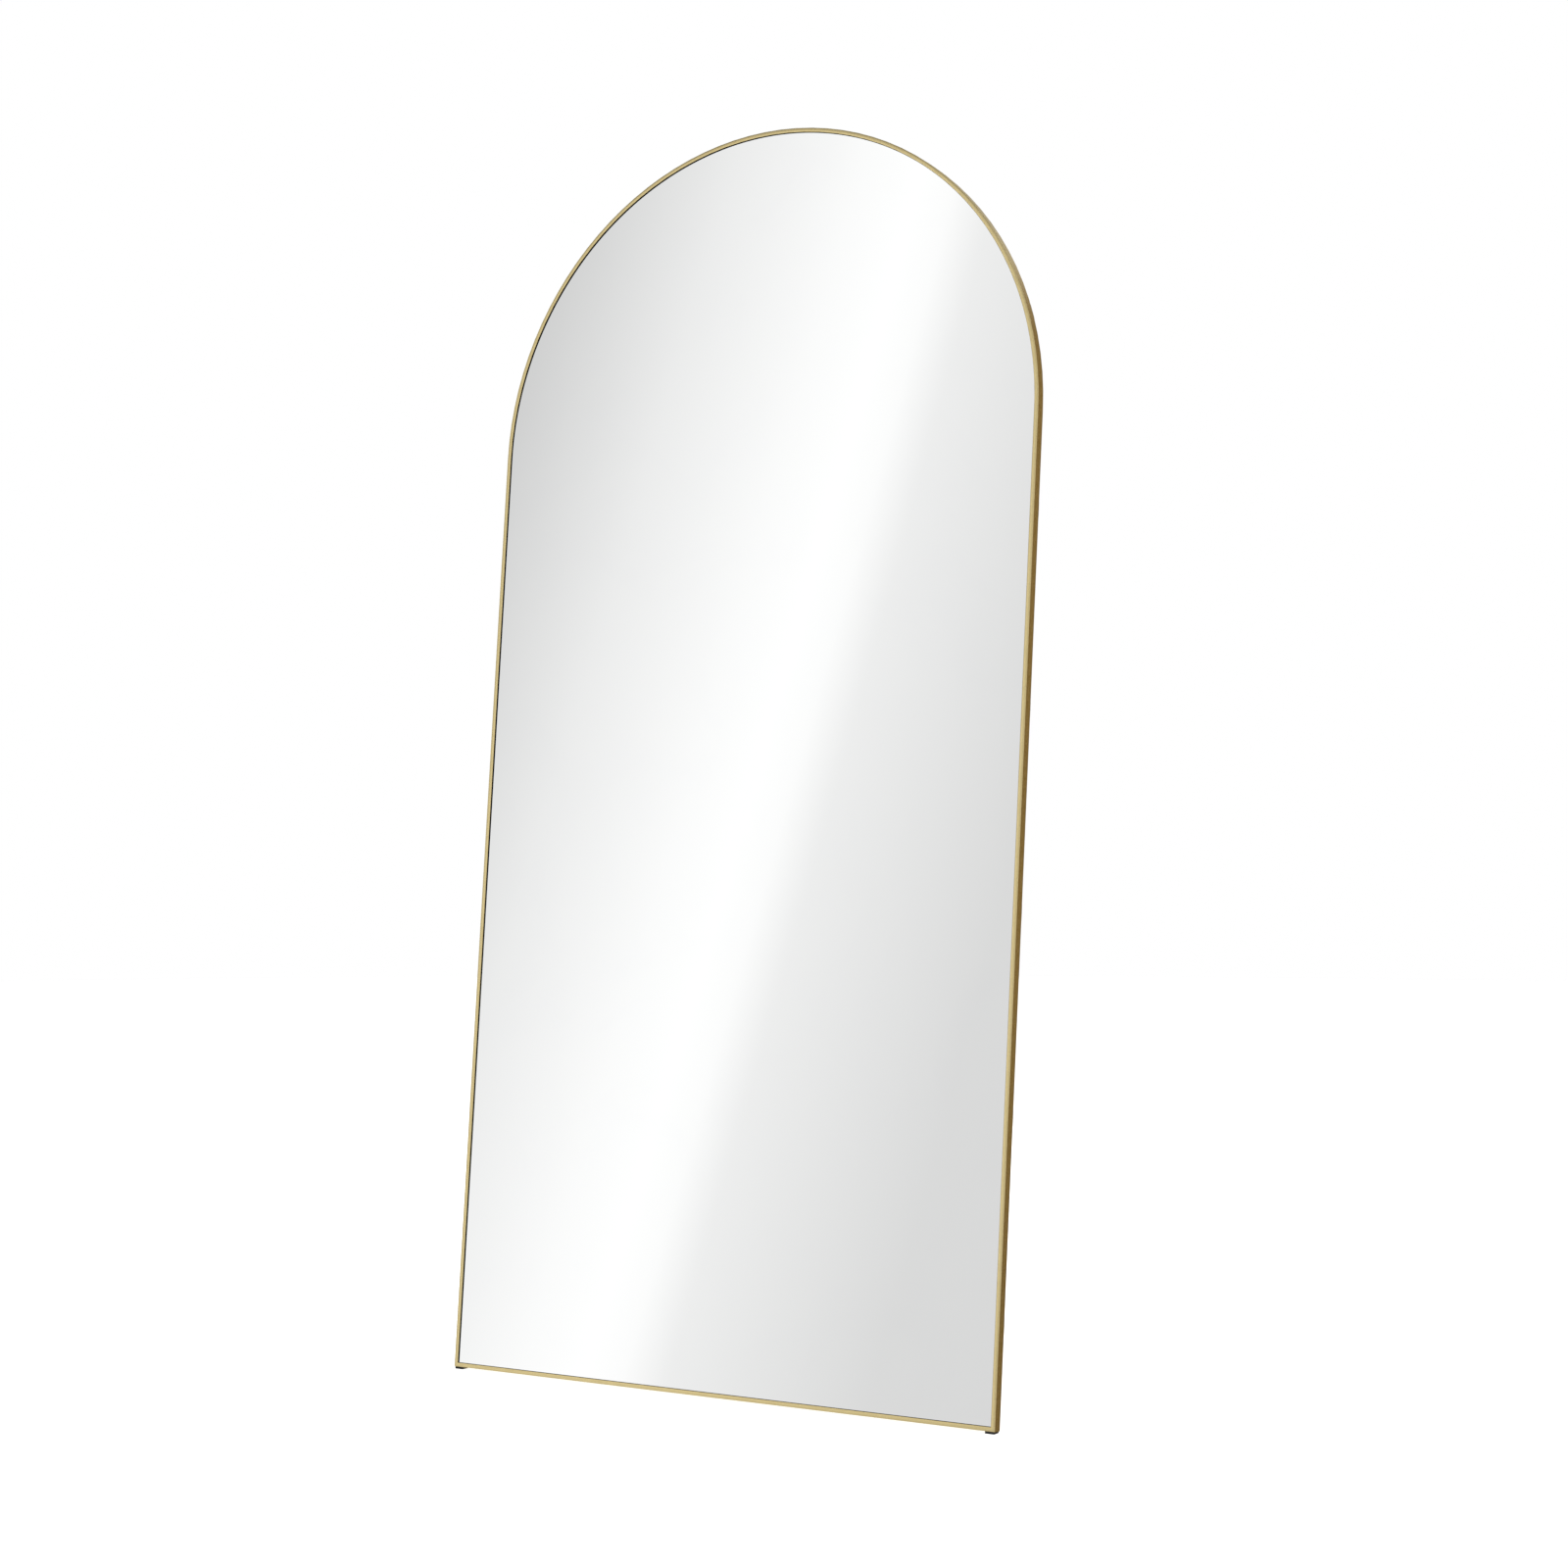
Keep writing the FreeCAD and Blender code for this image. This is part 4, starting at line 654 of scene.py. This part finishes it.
def make_glazing_strip(name):
    shape = bmesh.new()
    loops = []
    for inset, depth in STRIP_SECTION:
        loops.append([shape.verts.new(TO_WORLD @ point) for point in arch_points(inset, depth)])
    for loop, beside in zip(loops, loops[1:] + loops[:1]):
        bridge(shape, loop, beside)
    mesh = plain_mesh(shape, name)
    finish_piece(mesh, name, BLACK_RUBBER_AND_SHADE, "mirror_frame", "black_rubber", ["glazing_strip"])


make_glazing_strip("glazing_strip_shade_bead")

# %% [markdown]
# Dozens of screws hold the back, in four sizes. Copying one finished screw by hand works until
# its size has to change. A Geometry Nodes tree keeps size as an input: it turns a head from a
# grid, whose rows become the profile and whose columns go round, cuts the cross, and sets one
# head on every seat with its own turn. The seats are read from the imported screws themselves.
# They are sorted by place, because a Python set of a mesh's corners has no fixed order, and each
# screw has to get the same turn in every run.

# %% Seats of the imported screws
def extent(solid, axis):
    values = [point[axis] for point in solid]
    return min(values), max(values)


def middle(solid):
    return Vector([sum(extent(solid, axis)) / 2 for axis in range(3)])


def place_in_order(solid):
    """Sorts from low to high, and from left to right on one level."""
    centre = middle(solid)
    return round(centre.z, 4), round(centre.x, 4)


def separate_solids(node):
    """The node's solids in order, each as its points in the mirror's axes."""
    shape = joined_shape(nodes[node].data)
    waiting, solids = set(shape.verts), []
    while waiting:
        front = [waiting.pop()]
        solid = []
        while front:
            vertex = front.pop()
            solid.append(TO_MIRROR @ vertex.co)
            beside = {edge.other_vert(vertex) for edge in vertex.link_edges} & waiting
            waiting -= beside
            front.extend(beside)
        solids.append(solid)
    shape.free()
    return sorted(solids, key=place_in_order)


print(len(separate_solids("board_clip_screws")), "clip screws to seat")

# %% [markdown]
# The tree that makes a screw head. A pan head is a circle squared off towards its rim, so both
# radius and height follow a quarter turn raised to a power under one.

# %% Helpers for geometry trees
UPRIGHT = (-math.pi / 2, 0, 0)


def new_geometry_tree(name, inputs):
    tree = bpy.data.node_groups.new(name, "GeometryNodeTree")
    for label, kind in [("Geometry", "Geometry"), *inputs, ("Finish", "Material")]:
        tree.interface.new_socket(label, in_out="INPUT", socket_type=f"NodeSocket{kind}")
    tree.interface.new_socket("Geometry", in_out="OUTPUT", socket_type="NodeSocketGeometry")
    return tree, tree.nodes.new("NodeGroupInput"), tree.nodes.new("NodeGroupOutput")


def vector_of(tree, x=0.0, y=0.0, z=0.0):
    return add_node(tree, "ShaderNodeCombineXYZ", {0: x, 1: y, 2: z}).outputs[0]


def moved_by(tree, geometry, offset):
    inputs = {"Geometry": geometry, "Translation": offset}
    return add_node(tree, "GeometryNodeTransform", inputs).outputs[0]


def welded(tree, geometry, distance):
    inputs = {"Geometry": geometry, "Distance": distance}
    return add_node(tree, "GeometryNodeMergeByDistance", inputs).outputs[0]


def place_copies(tree, given, out, shape, turn):
    """Instances the shape on the points, upright to the board, and makes them real."""
    inputs = {"Points": given.outputs["Geometry"], "Instance": shape, "Rotation": UPRIGHT}
    seats = add_node(tree, "GeometryNodeInstanceOnPoints", inputs)
    inputs = {"Instances": seats.outputs[0], "Rotation": vector_of(tree, z=turn)}
    turned = add_node(tree, "GeometryNodeRotateInstances", inputs)
    real = add_node(tree, "GeometryNodeRealizeInstances", {0: turned.outputs[0]})
    inputs = {"Geometry": real.outputs[0], "Material": given.outputs["Finish"]}
    finish = add_node(tree, "GeometryNodeSetMaterial", inputs)
    feed(tree, out, {0: finish.outputs[0]})
    print("tree", tree.name, len(tree.nodes), "nodes")


# %% Tree: screw heads
HEAD_SIDES, HEAD_RINGS = 28, 11
HEAD_WELD = 0.005 * MM
UNDERSIDE_SHARE = 0.1
PAN_POWER = 0.45
RECESS_LENGTH, RECESS_DROP = 1.15, 1.2


def pan_point(tree, column, row, radius, height):
    """Bends a flat grid of side one into a pan head."""
    round_angle = calculate(tree, "MULTIPLY", calculate(tree, "ADD", column, 0.5), 2 * math.pi)
    share = calculate(tree, "ADD", row, 0.5)
    under = calculate(tree, "MINIMUM", calculate(tree, "DIVIDE", share, UNDERSIDE_SHARE), 1.0)
    rise = calculate(tree, "SUBTRACT", share, UNDERSIDE_SHARE)
    rise = calculate(tree, "MAXIMUM", calculate(tree, "DIVIDE", rise, 1 - UNDERSIDE_SHARE), 0.0)
    dome_angle = calculate(tree, "MULTIPLY", rise, math.pi / 2)
    cosine = calculate(tree, "MAXIMUM", calculate(tree, "COSINE", dome_angle), 0.0)
    reach = calculate(tree, "MULTIPLY", calculate(tree, "POWER", cosine, PAN_POWER), radius)
    reach = calculate(tree, "MULTIPLY", reach, under)
    lift = calculate(tree, "POWER", calculate(tree, "SINE", dome_angle), PAN_POWER)
    x = calculate(tree, "MULTIPLY", calculate(tree, "COSINE", round_angle), reach)
    y = calculate(tree, "MULTIPLY", calculate(tree, "SINE", round_angle), reach)
    return vector_of(tree, x, y, calculate(tree, "MULTIPLY", lift, height))


def make_screw_tree():
    labels = ("Head Radius", "Head Height", "Recess Width")
    inputs = [(label, "Float") for label in labels] + [("Seed", "Int")]
    tree, given, out = new_geometry_tree("screw_heads", inputs)
    radius, height, width = [given.outputs[label] for label in labels]
    inputs = {
        "Size X": 1.0,
        "Size Y": 1.0,
        "Vertices X": HEAD_SIDES + 1,
        "Vertices Y": HEAD_RINGS,
    }
    grid = add_node(tree, "GeometryNodeMeshGrid", inputs)
    position = add_node(tree, "GeometryNodeInputPosition").outputs[0]
    column, row, _ = add_node(tree, "ShaderNodeSeparateXYZ", {0: position}).outputs
    inputs = {
        "Geometry": grid.outputs[0],
        "Position": pan_point(tree, column, row, radius, height),
    }
    turned = add_node(tree, "GeometryNodeSetPosition", inputs)
    inputs = {"Mesh 1": welded(tree, turned.outputs[0], HEAD_WELD)}
    cut = add_node(tree, "GeometryNodeMeshBoolean", operation="DIFFERENCE")
    feed(tree, cut, inputs)
    arm = calculate(tree, "MULTIPLY", radius, RECESS_LENGTH)
    drop = calculate(tree, "MULTIPLY", height, RECESS_DROP)
    for long_way, short_way in ((arm, width), (width, arm)):
        size = vector_of(tree, long_way, short_way, drop)
        bar = add_node(tree, "GeometryNodeMeshCube", {"Size": size}).outputs[0]
        feed(tree, cut, {"Mesh 2": moved_by(tree, bar, vector_of(tree, z=height))})
    inputs = {"Min": 0.0, "Max": 2 * math.pi, "Seed": given.outputs["Seed"]}
    turn = add_node(tree, "FunctionNodeRandomValue", inputs, data_type="FLOAT")
    value = next(socket for socket in turn.outputs if socket.enabled)
    place_copies(tree, given, out, cut.outputs[0], value)
    return tree


SCREW_TREE = make_screw_tree()

# %% [markdown]
# Each group of screws is a handful of points with the tree as its modifier. Inputs are set by
# the socket's identifier, because two sockets may share a name and only the identifier is
# certain. The result becomes a plain mesh, leaned with the rest of the mirror.

# %% Screws on their seats
def points_object(name, points, turns=()):
    mesh = bpy.data.meshes.new(name)
    mesh.from_pydata([tuple(point) for point in points], [], [])
    if turns:
        stored = mesh.attributes.new("turn", "FLOAT", "POINT")
        stored.data.foreach_set("value", turns)
    return link_object(name, mesh)


def run_tree(tree, holder, values):
    """Runs a geometry tree on a holder of points and gives the leaned, plain mesh."""
    modifier = holder.modifiers.new(tree.name, "NODES")
    modifier.node_group = tree
    for item in tree.interface.items_tree:
        if item.in_out == "INPUT" and item.name in values:
            modifier[item.identifier] = values[item.name]
    mesh = evaluated_mesh(holder)
    bpy.data.objects.remove(holder, do_unlink=True)
    mesh.transform(TO_WORLD)
    return mesh


SCREW_GROUPS = {
    "corner_key_screws": (1.2 * MM, 0.6 * MM, 11),
    "board_clip_screws": (1.4 * MM, 0.7 * MM, 23),
    "left_hanger_screws": (1.6 * MM, 0.9 * MM, 5),
    "right_hanger_screws": (1.6 * MM, 0.9 * MM, 7),
    "bumper_screws": (2 * MM, 0.85 * MM, 3),
    "stand_bracket_screws": (1.6 * MM, 0.9 * MM, 19),
}
for name, (height, recess, seed) in SCREW_GROUPS.items():
    solids = separate_solids(name)
    left, right = extent(solids[0], 0)
    seats = []
    for solid in solids:
        centre = middle(solid)
        seats.append(Vector((centre.x, extent(solid, 1)[1] - height, centre.z)))
    values = {
        "Head Radius": (right - left) / 2,
        "Head Height": height,
        "Recess Width": recess,
        "Seed": seed,
        "Finish": SCREW_STEEL,
    }
    heads = run_tree(SCREW_TREE, points_object(f"{name}_seats", seats), values)
    finish_piece(heads, f"{name}_heads", SCREW_STEEL, "mirror_frame", "screw_steel", [name])

# %% [markdown]
# Flat zinc clips bridge from the frame to the board all the way round. Each is blanked from
# strip: a rounded tab with a hole near either end. The tree draws the outline as curves, fills
# it with the holes left open, gives it thickness, and sets a copy at each seat, turned by an
# angle stored on the point. Blanking leaves a soft edge, which a small bevel gives later.

# %% Tree: clips
CORNER_STEPS, HOLE_SIDES = 6, 20
CLIP_WELD = 0.002 * MM


def make_clip_tree():
    labels = ("Across", "Along", "Thickness", "Corner", "Hole Radius", "Hole Offset")
    inputs = [(label, "Float") for label in labels]
    tree, given, out = new_geometry_tree("board_clips", inputs)
    across, along, thickness, corner, hole_radius, hole_offset = [
        given.outputs[label] for label in labels
    ]
    inputs = {"Width": across, "Height": along}
    sheet = add_node(tree, "GeometryNodeCurvePrimitiveQuadrilateral", inputs)
    inputs = {"Curve": sheet.outputs[0], "Radius": corner, "Count": CORNER_STEPS}
    rounded = add_node(tree, "GeometryNodeFilletCurve", inputs, mode="POLY")
    outline = add_node(tree, "GeometryNodeJoinGeometry", {0: rounded.outputs[0]})
    for sign in (-1.0, 1.0):
        inputs = {"Resolution": HOLE_SIDES, "Radius": hole_radius}
        hole = add_node(tree, "GeometryNodeCurvePrimitiveCircle", inputs).outputs[0]
        offset = vector_of(tree, calculate(tree, "MULTIPLY", hole_offset, sign))
        feed(tree, outline, {0: moved_by(tree, hole, offset)})
    filled = add_node(tree, "GeometryNodeFillCurve", {0: outline.outputs[0]}).outputs[0]
    inputs = {"Mesh": filled, "Offset Scale": thickness, "Individual": False}
    raised = add_node(tree, "GeometryNodeExtrudeMesh", inputs)
    base = add_node(tree, "GeometryNodeFlipFaces", {0: filled})
    joined = add_node(tree, "GeometryNodeJoinGeometry")
    for half in (raised, base):
        feed(tree, joined, {0: half.outputs[0]})
    closed = welded(tree, joined.outputs[0], CLIP_WELD)
    turn = add_node(tree, "GeometryNodeInputNamedAttribute", {"Name": "turn"}, data_type="FLOAT")
    place_copies(tree, given, out, closed, turn.outputs[0])
    return tree


CLIP_TREE = make_clip_tree()

# %% [markdown]
# A clip is laid square to the outline: inwards from a leg, upwards from the sill, and towards
# the centre of the arch. The angle comes from the clip's own place.

# %% Clips on their seats
CLIP_ROUNDING = 0.12 * MM
CLIP_VALUES = {
    "Across": 16 * MM,
    "Along": 24 * MM,
    "Thickness": 1 * MM,
    "Corner": 2 * MM,
    "Hole Radius": 1.3 * MM,
    "Hole Offset": 4.75 * MM,
    "Finish": CLIP_STEEL,
}


def inward(point):
    """The way in from the nearest part of the outline, across and up the mirror."""
    if point.z > SPRINGING:
        return Vector((-point.x, SPRINGING - point.z)).normalized()
    if point.z < HALF_WIDTH - abs(point.x):
        return Vector((0, 1))
    return Vector((-math.copysign(1, point.x), 0))


def make_clips(name):
    seats, turns = [], []
    for solid in separate_solids("board_clips"):
        centre = middle(solid)
        seats.append(Vector((centre.x, extent(solid, 1)[0], centre.z)))
        way = inward(centre)
        turns.append(math.atan2(-way.y, way.x))
    mesh = run_tree(CLIP_TREE, points_object("clip_seats", seats, turns), CLIP_VALUES)
    owner = ("mirror_frame", "clip_steel", ["board_clips"])
    finish_piece(mesh, name, CLIP_STEEL, *owner, CLIP_ROUNDING)


make_clips("board_clips_blanked")

# %% [markdown]
# The stand's rubber sleeves and its rivets are turned shapes. A lathe helper spins a short list
# of places along an axis and radii about it. The sleeves are ribbed where they grip the floor,
# and the ribs stay inside the sleeve's outer size.

# %% Turned pieces
TURN_SIDES = 48
SLEEVE_HALF, SLEEVE_BORE = 15 * MM, 6.05 * MM
SLEEVE_CHAMFER, SLEEVE_PLAIN_END = 0.5 * MM, 2 * MM
SLEEVE_RIBS, SLEEVE_GROOVE = 6, 0.35 * MM
RIVET_HALF_SPAN, RIVET_SHANK, RIVET_HEAD, RIVET_RISE = 8.3 * MM, 2.5 * MM, 4 * MM, 1.5 * MM
DOME_SHARES = (0.0, 0.25, 0.5, 0.75, 0.97)


def lathe(shape, centre, profile, closed):
    """Spins (along X, radius) points about a line through the centre."""
    rings = []
    for along, radius in profile:
        ring = []
        for step in range(TURN_SIDES):
            angle = 2 * math.pi * step / TURN_SIDES
            offset = Vector((along, radius * math.cos(angle), radius * math.sin(angle)))
            ring.append(shape.verts.new(centre + offset))
        rings.append(ring)
    for ring, beside in zip(rings, rings[1:]):
        bridge(shape, ring, beside)
    if closed:
        bridge(shape, rings[-1], rings[0])
    else:
        shape.faces.new(rings[0])
        shape.faces.new(rings[-1])


def sleeve_profile(outer):
    """Ribbed outside and plain bore, as a closed section."""
    profile = [
        (-SLEEVE_HALF, SLEEVE_BORE),
        (-SLEEVE_HALF, outer - SLEEVE_CHAMFER),
        (SLEEVE_CHAMFER - SLEEVE_HALF, outer),
    ]
    far_end = [(-along, radius) for along, radius in reversed(profile)]
    span = 2 * (SLEEVE_HALF - SLEEVE_PLAIN_END) / SLEEVE_RIBS
    groove = outer - SLEEVE_GROOVE
    for rib in range(SLEEVE_RIBS):
        start = SLEEVE_PLAIN_END - SLEEVE_HALF + rib * span
        for share, radius in ((0.3, outer), (0.4, groove), (0.6, groove), (0.7, outer)):
            profile.append((start + share * span, radius))
    return profile + far_end


def rivet_profile():
    """Shank with a domed head at each end."""
    right = [(RIVET_HALF_SPAN, RIVET_SHANK)]
    for share in DOME_SHARES:
        angle = share * math.pi / 2
        along = RIVET_HALF_SPAN + RIVET_RISE * math.sin(angle)
        right.append((along, RIVET_HEAD * math.cos(angle)))
    return [(-along, radius) for along, radius in reversed(right)] + right


def make_turned_pair(node, half, profile, closed, name, material, body, slot):
    """Turns one piece at each end of the node's box."""
    low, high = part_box(node)
    shape = bmesh.new()
    for x in (low.x + half, high.x - half):
        centre = Vector((x, (low.y + high.y) / 2, (low.z + high.z) / 2))
        lathe(shape, centre, profile, closed)
    finish_piece(plain_mesh(shape, name), name, material, body, slot, [node])


low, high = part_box("stand_feet")
sleeve = sleeve_profile(min(high.y - low.y, high.z - low.z) / 2)
look = ("stand_feet_ribbed", FOOT_RUBBER, "stand", "foot_rubber")
make_turned_pair("stand_feet", SLEEVE_HALF, sleeve, True, *look)
look = ("stand_rivets_domed", SCREW_STEEL, "mirror_frame", "screw_steel")
rivet_half = RIVET_HALF_SPAN + RIVET_RISE
make_turned_pair("stand_hinge_pins", rivet_half, rivet_profile(), False, *look)

# %% [markdown]
# A mirror shows the room, so its look is the room's look. The studio here is a sky of soft light
# with long tilted bands: bright at the band, fading slowly on one side and dropping fast on the
# other. Painting that fade on the glass would be wrong from every other side. As part of the
# world it slides over the glass as a real reflection does. A dark flag hangs high over the
# front and deepens the top rail, and the ground is a shade dimmer than the walls. A dark warm
# screen stands behind the mirror to the right, and it gives the frame's outer side its deep
# tone. Rays that the camera sends straight out see plain white paper.

# %% The studio's light
BAND_AZIMUTH, BAND_TILT, BAND_SPACING = 33.58, 0.179, 40.0
BAND_STOPS = [
    (-20.0, 0.4),
    (-14.0, 0.4),
    (-9.0, 0.68),
    (-4.6, 0.7),
    (-0.4, 0.855),
    (0.5, 0.98),
    (1.3, 1.01),
    (2.6, 0.97),
    (5.4, 0.84),
    (8.2, 0.65),
    (13.0, 0.4),
    (20.0, 0.4),
]
SKY_STRENGTH = 1.1
FLAG_BOTTOM, FLAG_FULL, FLAG_TONE = 24.5, 31.0, 0.2
FLAG_HALF_WIDTH, FLAG_FADE = 30.0, 35.0
HORIZON, GROUND_FULL, GROUND_TONE = -2.3, -10.0, 0.8
SCREEN_COLOUR = (0.165, 0.112, 0.041, 1)
SCREEN_AZIMUTH, SCREEN_HALF_WIDTH, SCREEN_FADE = 27.0, 16.0, 10.0
WHITE = (1, 1, 1, 1)


def azimuth_of(tree, x, y):
    return calculate(tree, "DEGREES", calculate(tree, "ARCTAN2", x, y))


def make_band(tree, azimuth, elevation):
    """The grey of the band nearest to a direction."""
    tilted = calculate(tree, "MULTIPLY_ADD", elevation, BAND_TILT, azimuth)
    offset = calculate(tree, "SUBTRACT", tilted, BAND_AZIMUTH)
    wrapped = calculate(tree, "WRAP", offset, BAND_SPACING / 2, -BAND_SPACING / 2)
    share = calculate(tree, "MULTIPLY_ADD", wrapped, 1 / BAND_SPACING, 0.5)
    ramp = add_node(tree, "ShaderNodeValToRGB", {0: share})
    stops = ramp.color_ramp.elements
    for index, (degrees, brightness) in enumerate(BAND_STOPS):
        position = degrees / BAND_SPACING + 0.5
        stop = stops[index] if index < 2 else stops.new(position)
        stop.position = position
        tone = brightness / SILVER[1] / SKY_STRENGTH
        stop.color = (tone, tone, tone, 1)
    return ramp.outputs[0]


def fade_beside(tree, azimuth, centre, half_width, fade):
    """One within the half width of a centre, and nought past the fade."""
    apart = calculate(tree, "ABSOLUTE", calculate(tree, "SUBTRACT", azimuth, centre))
    return stepped(tree, apart, half_width + fade, half_width)


def make_studio():
    world = bpy.data.worlds.new("studio")
    world.use_nodes = True
    bpy.context.scene.world = world
    tree = world.node_tree
    tree.nodes.clear()
    way = add_node(tree, "ShaderNodeTexCoord").outputs["Generated"]
    x, y, z = add_node(tree, "ShaderNodeSeparateXYZ", {0: way}).outputs
    elevation = calculate(tree, "DEGREES", calculate(tree, "ARCSINE", z))
    to_left = calculate(tree, "MULTIPLY", x, -1.0)
    to_front = calculate(tree, "MULTIPLY", y, -1.0)
    azimuth = azimuth_of(tree, to_left, to_front)
    band = make_band(tree, azimuth, elevation)
    behind = azimuth_of(tree, x, y)
    screen = fade_beside(tree, behind, SCREEN_AZIMUTH, SCREEN_HALF_WIDTH, SCREEN_FADE)
    room = blend_colours(tree, screen, band, SCREEN_COLOUR)
    under_flag = fade_beside(tree, azimuth, BAND_AZIMUTH, FLAG_HALF_WIDTH, FLAG_FADE)
    dimmed = stepped(tree, elevation, FLAG_BOTTOM, FLAG_FULL, 0.0, FLAG_TONE - 1)
    above = calculate(tree, "MULTIPLY_ADD", under_flag, dimmed, 1.0)
    below = stepped(tree, elevation, HORIZON, GROUND_FULL, 1.0, GROUND_TONE)
    seen = add_node(tree, "ShaderNodeLightPath").outputs["Is Camera Ray"]
    share_left = calculate(tree, "MAXIMUM", calculate(tree, "MULTIPLY", above, below), seen)
    shown = blend_colours(tree, seen, room, WHITE)
    strength = calculate(tree, "MULTIPLY_ADD", seen, 1 - SKY_STRENGTH, SKY_STRENGTH)
    strength = calculate(tree, "MULTIPLY", strength, share_left)
    sky = add_node(tree, "ShaderNodeBackground", {"Color": shown, "Strength": strength})
    add_node(tree, "ShaderNodeOutputWorld", {"Surface": sky.outputs[0]})


make_studio()
bpy.context.scene.view_settings.view_transform = "Standard"
print(f"{len(BAND_STOPS)} stops in the band")

# %% [markdown]
# Soft lamps shape what the sky leaves flat: one high in front, one low on the right, and two
# behind for the back. They light surfaces but stay out of the glass, as flagged lamps would.

# %% Lamps
LOOK_AT = Vector((0, 0, 0.95))
LAMPS = {
    "front_lamp": ((-2.4, -2.8, 3.0), 2.2, 45),
    "right_lamp": ((3.0, -1.8, 1.3), 1.6, 22),
    "back_lamp": ((-2.2, 3.0, 2.4), 2.0, 45),
    "low_back_lamp": ((2.6, 2.6, 1.0), 1.6, 20),
}
for name, (place, size, watts) in LAMPS.items():
    light = bpy.data.lights.new(name, "AREA")
    light.size = size
    light.energy = watts
    lamp = link_object(name, light)
    lamp.location = place
    lamp.rotation_euler = (LOOK_AT - Vector(place)).to_track_quat("-Z", "Y").to_euler()
    lamp.visible_glossy = False
print(f"{len(LAMPS)} lamps")

# %% [markdown]
# The floor is pale seamless paper, nearly burnt out by its own light, so the mirror seems to
# stand in white with only a breath of shadow at its feet.

# %% Floor
FLOOR_RADIUS, FLOOR_SIDES = 14.0, 96
PAPER, PAPER_SHADE, PAPER_GLOW = (0.9, 0.9, 0.9, 1), (0.87, 0.87, 0.87, 1), 0.8
PULP_SCALE, PULP_DETAIL = 6.0, 3.0


def make_floor():
    material, tree, shader = new_material("floor_paper", roughness=0.9)
    pulp = noise(tree, object_place(tree), PULP_SCALE, PULP_DETAIL)
    paper = blend_colours(tree, pulp, PAPER, PAPER_SHADE)
    inputs = {"Base Color": paper, "Emission Color": WHITE, "Emission Strength": PAPER_GLOW}
    feed(tree, shader, inputs)
    shape = bmesh.new()
    bmesh.ops.create_circle(shape, cap_ends=True, segments=FLOOR_SIDES, radius=FLOOR_RADIUS)
    mesh = plain_mesh(shape, "floor")
    mesh.materials.append(material)
    floor = link_object("floor", mesh)
    floor.visible_glossy = False


make_floor()

# %% [markdown]
# The camera stands to the right of the mirror, at the height of a table, and looks almost level.
# Its place is measured from the lower front edge of the frame. A small shift slides the picture
# down on the sensor so that uprights stay upright, which tilting the camera would not do.

# %% Camera
CAMERA_FROM_EDGE = Vector((2.1093, -3.2146, 0.7490))
CAMERA_YAW, CAMERA_PITCH = 31.685, 0.253
SENSOR_WIDTH, LENS_LENGTH = 36, 63.05
PICTURE_SIDE, PRINCIPAL_ROW = 1600, 866.8


def make_camera():
    lens = bpy.data.cameras.new("camera")
    lens.sensor_width = SENSOR_WIDTH
    lens.lens = LENS_LENGTH
    lens.shift_y = (PRINCIPAL_ROW - PICTURE_SIDE / 2) / PICTURE_SIDE
    camera = link_object("camera", lens)
    camera.location = FRONT_EDGE + CAMERA_FROM_EDGE
    turn = (math.radians(90 + CAMERA_PITCH), 0, math.radians(CAMERA_YAW))
    camera.rotation_euler = Euler(turn, "XYZ")
    bpy.context.scene.camera = camera
    return camera


print("camera at", make_camera().location)
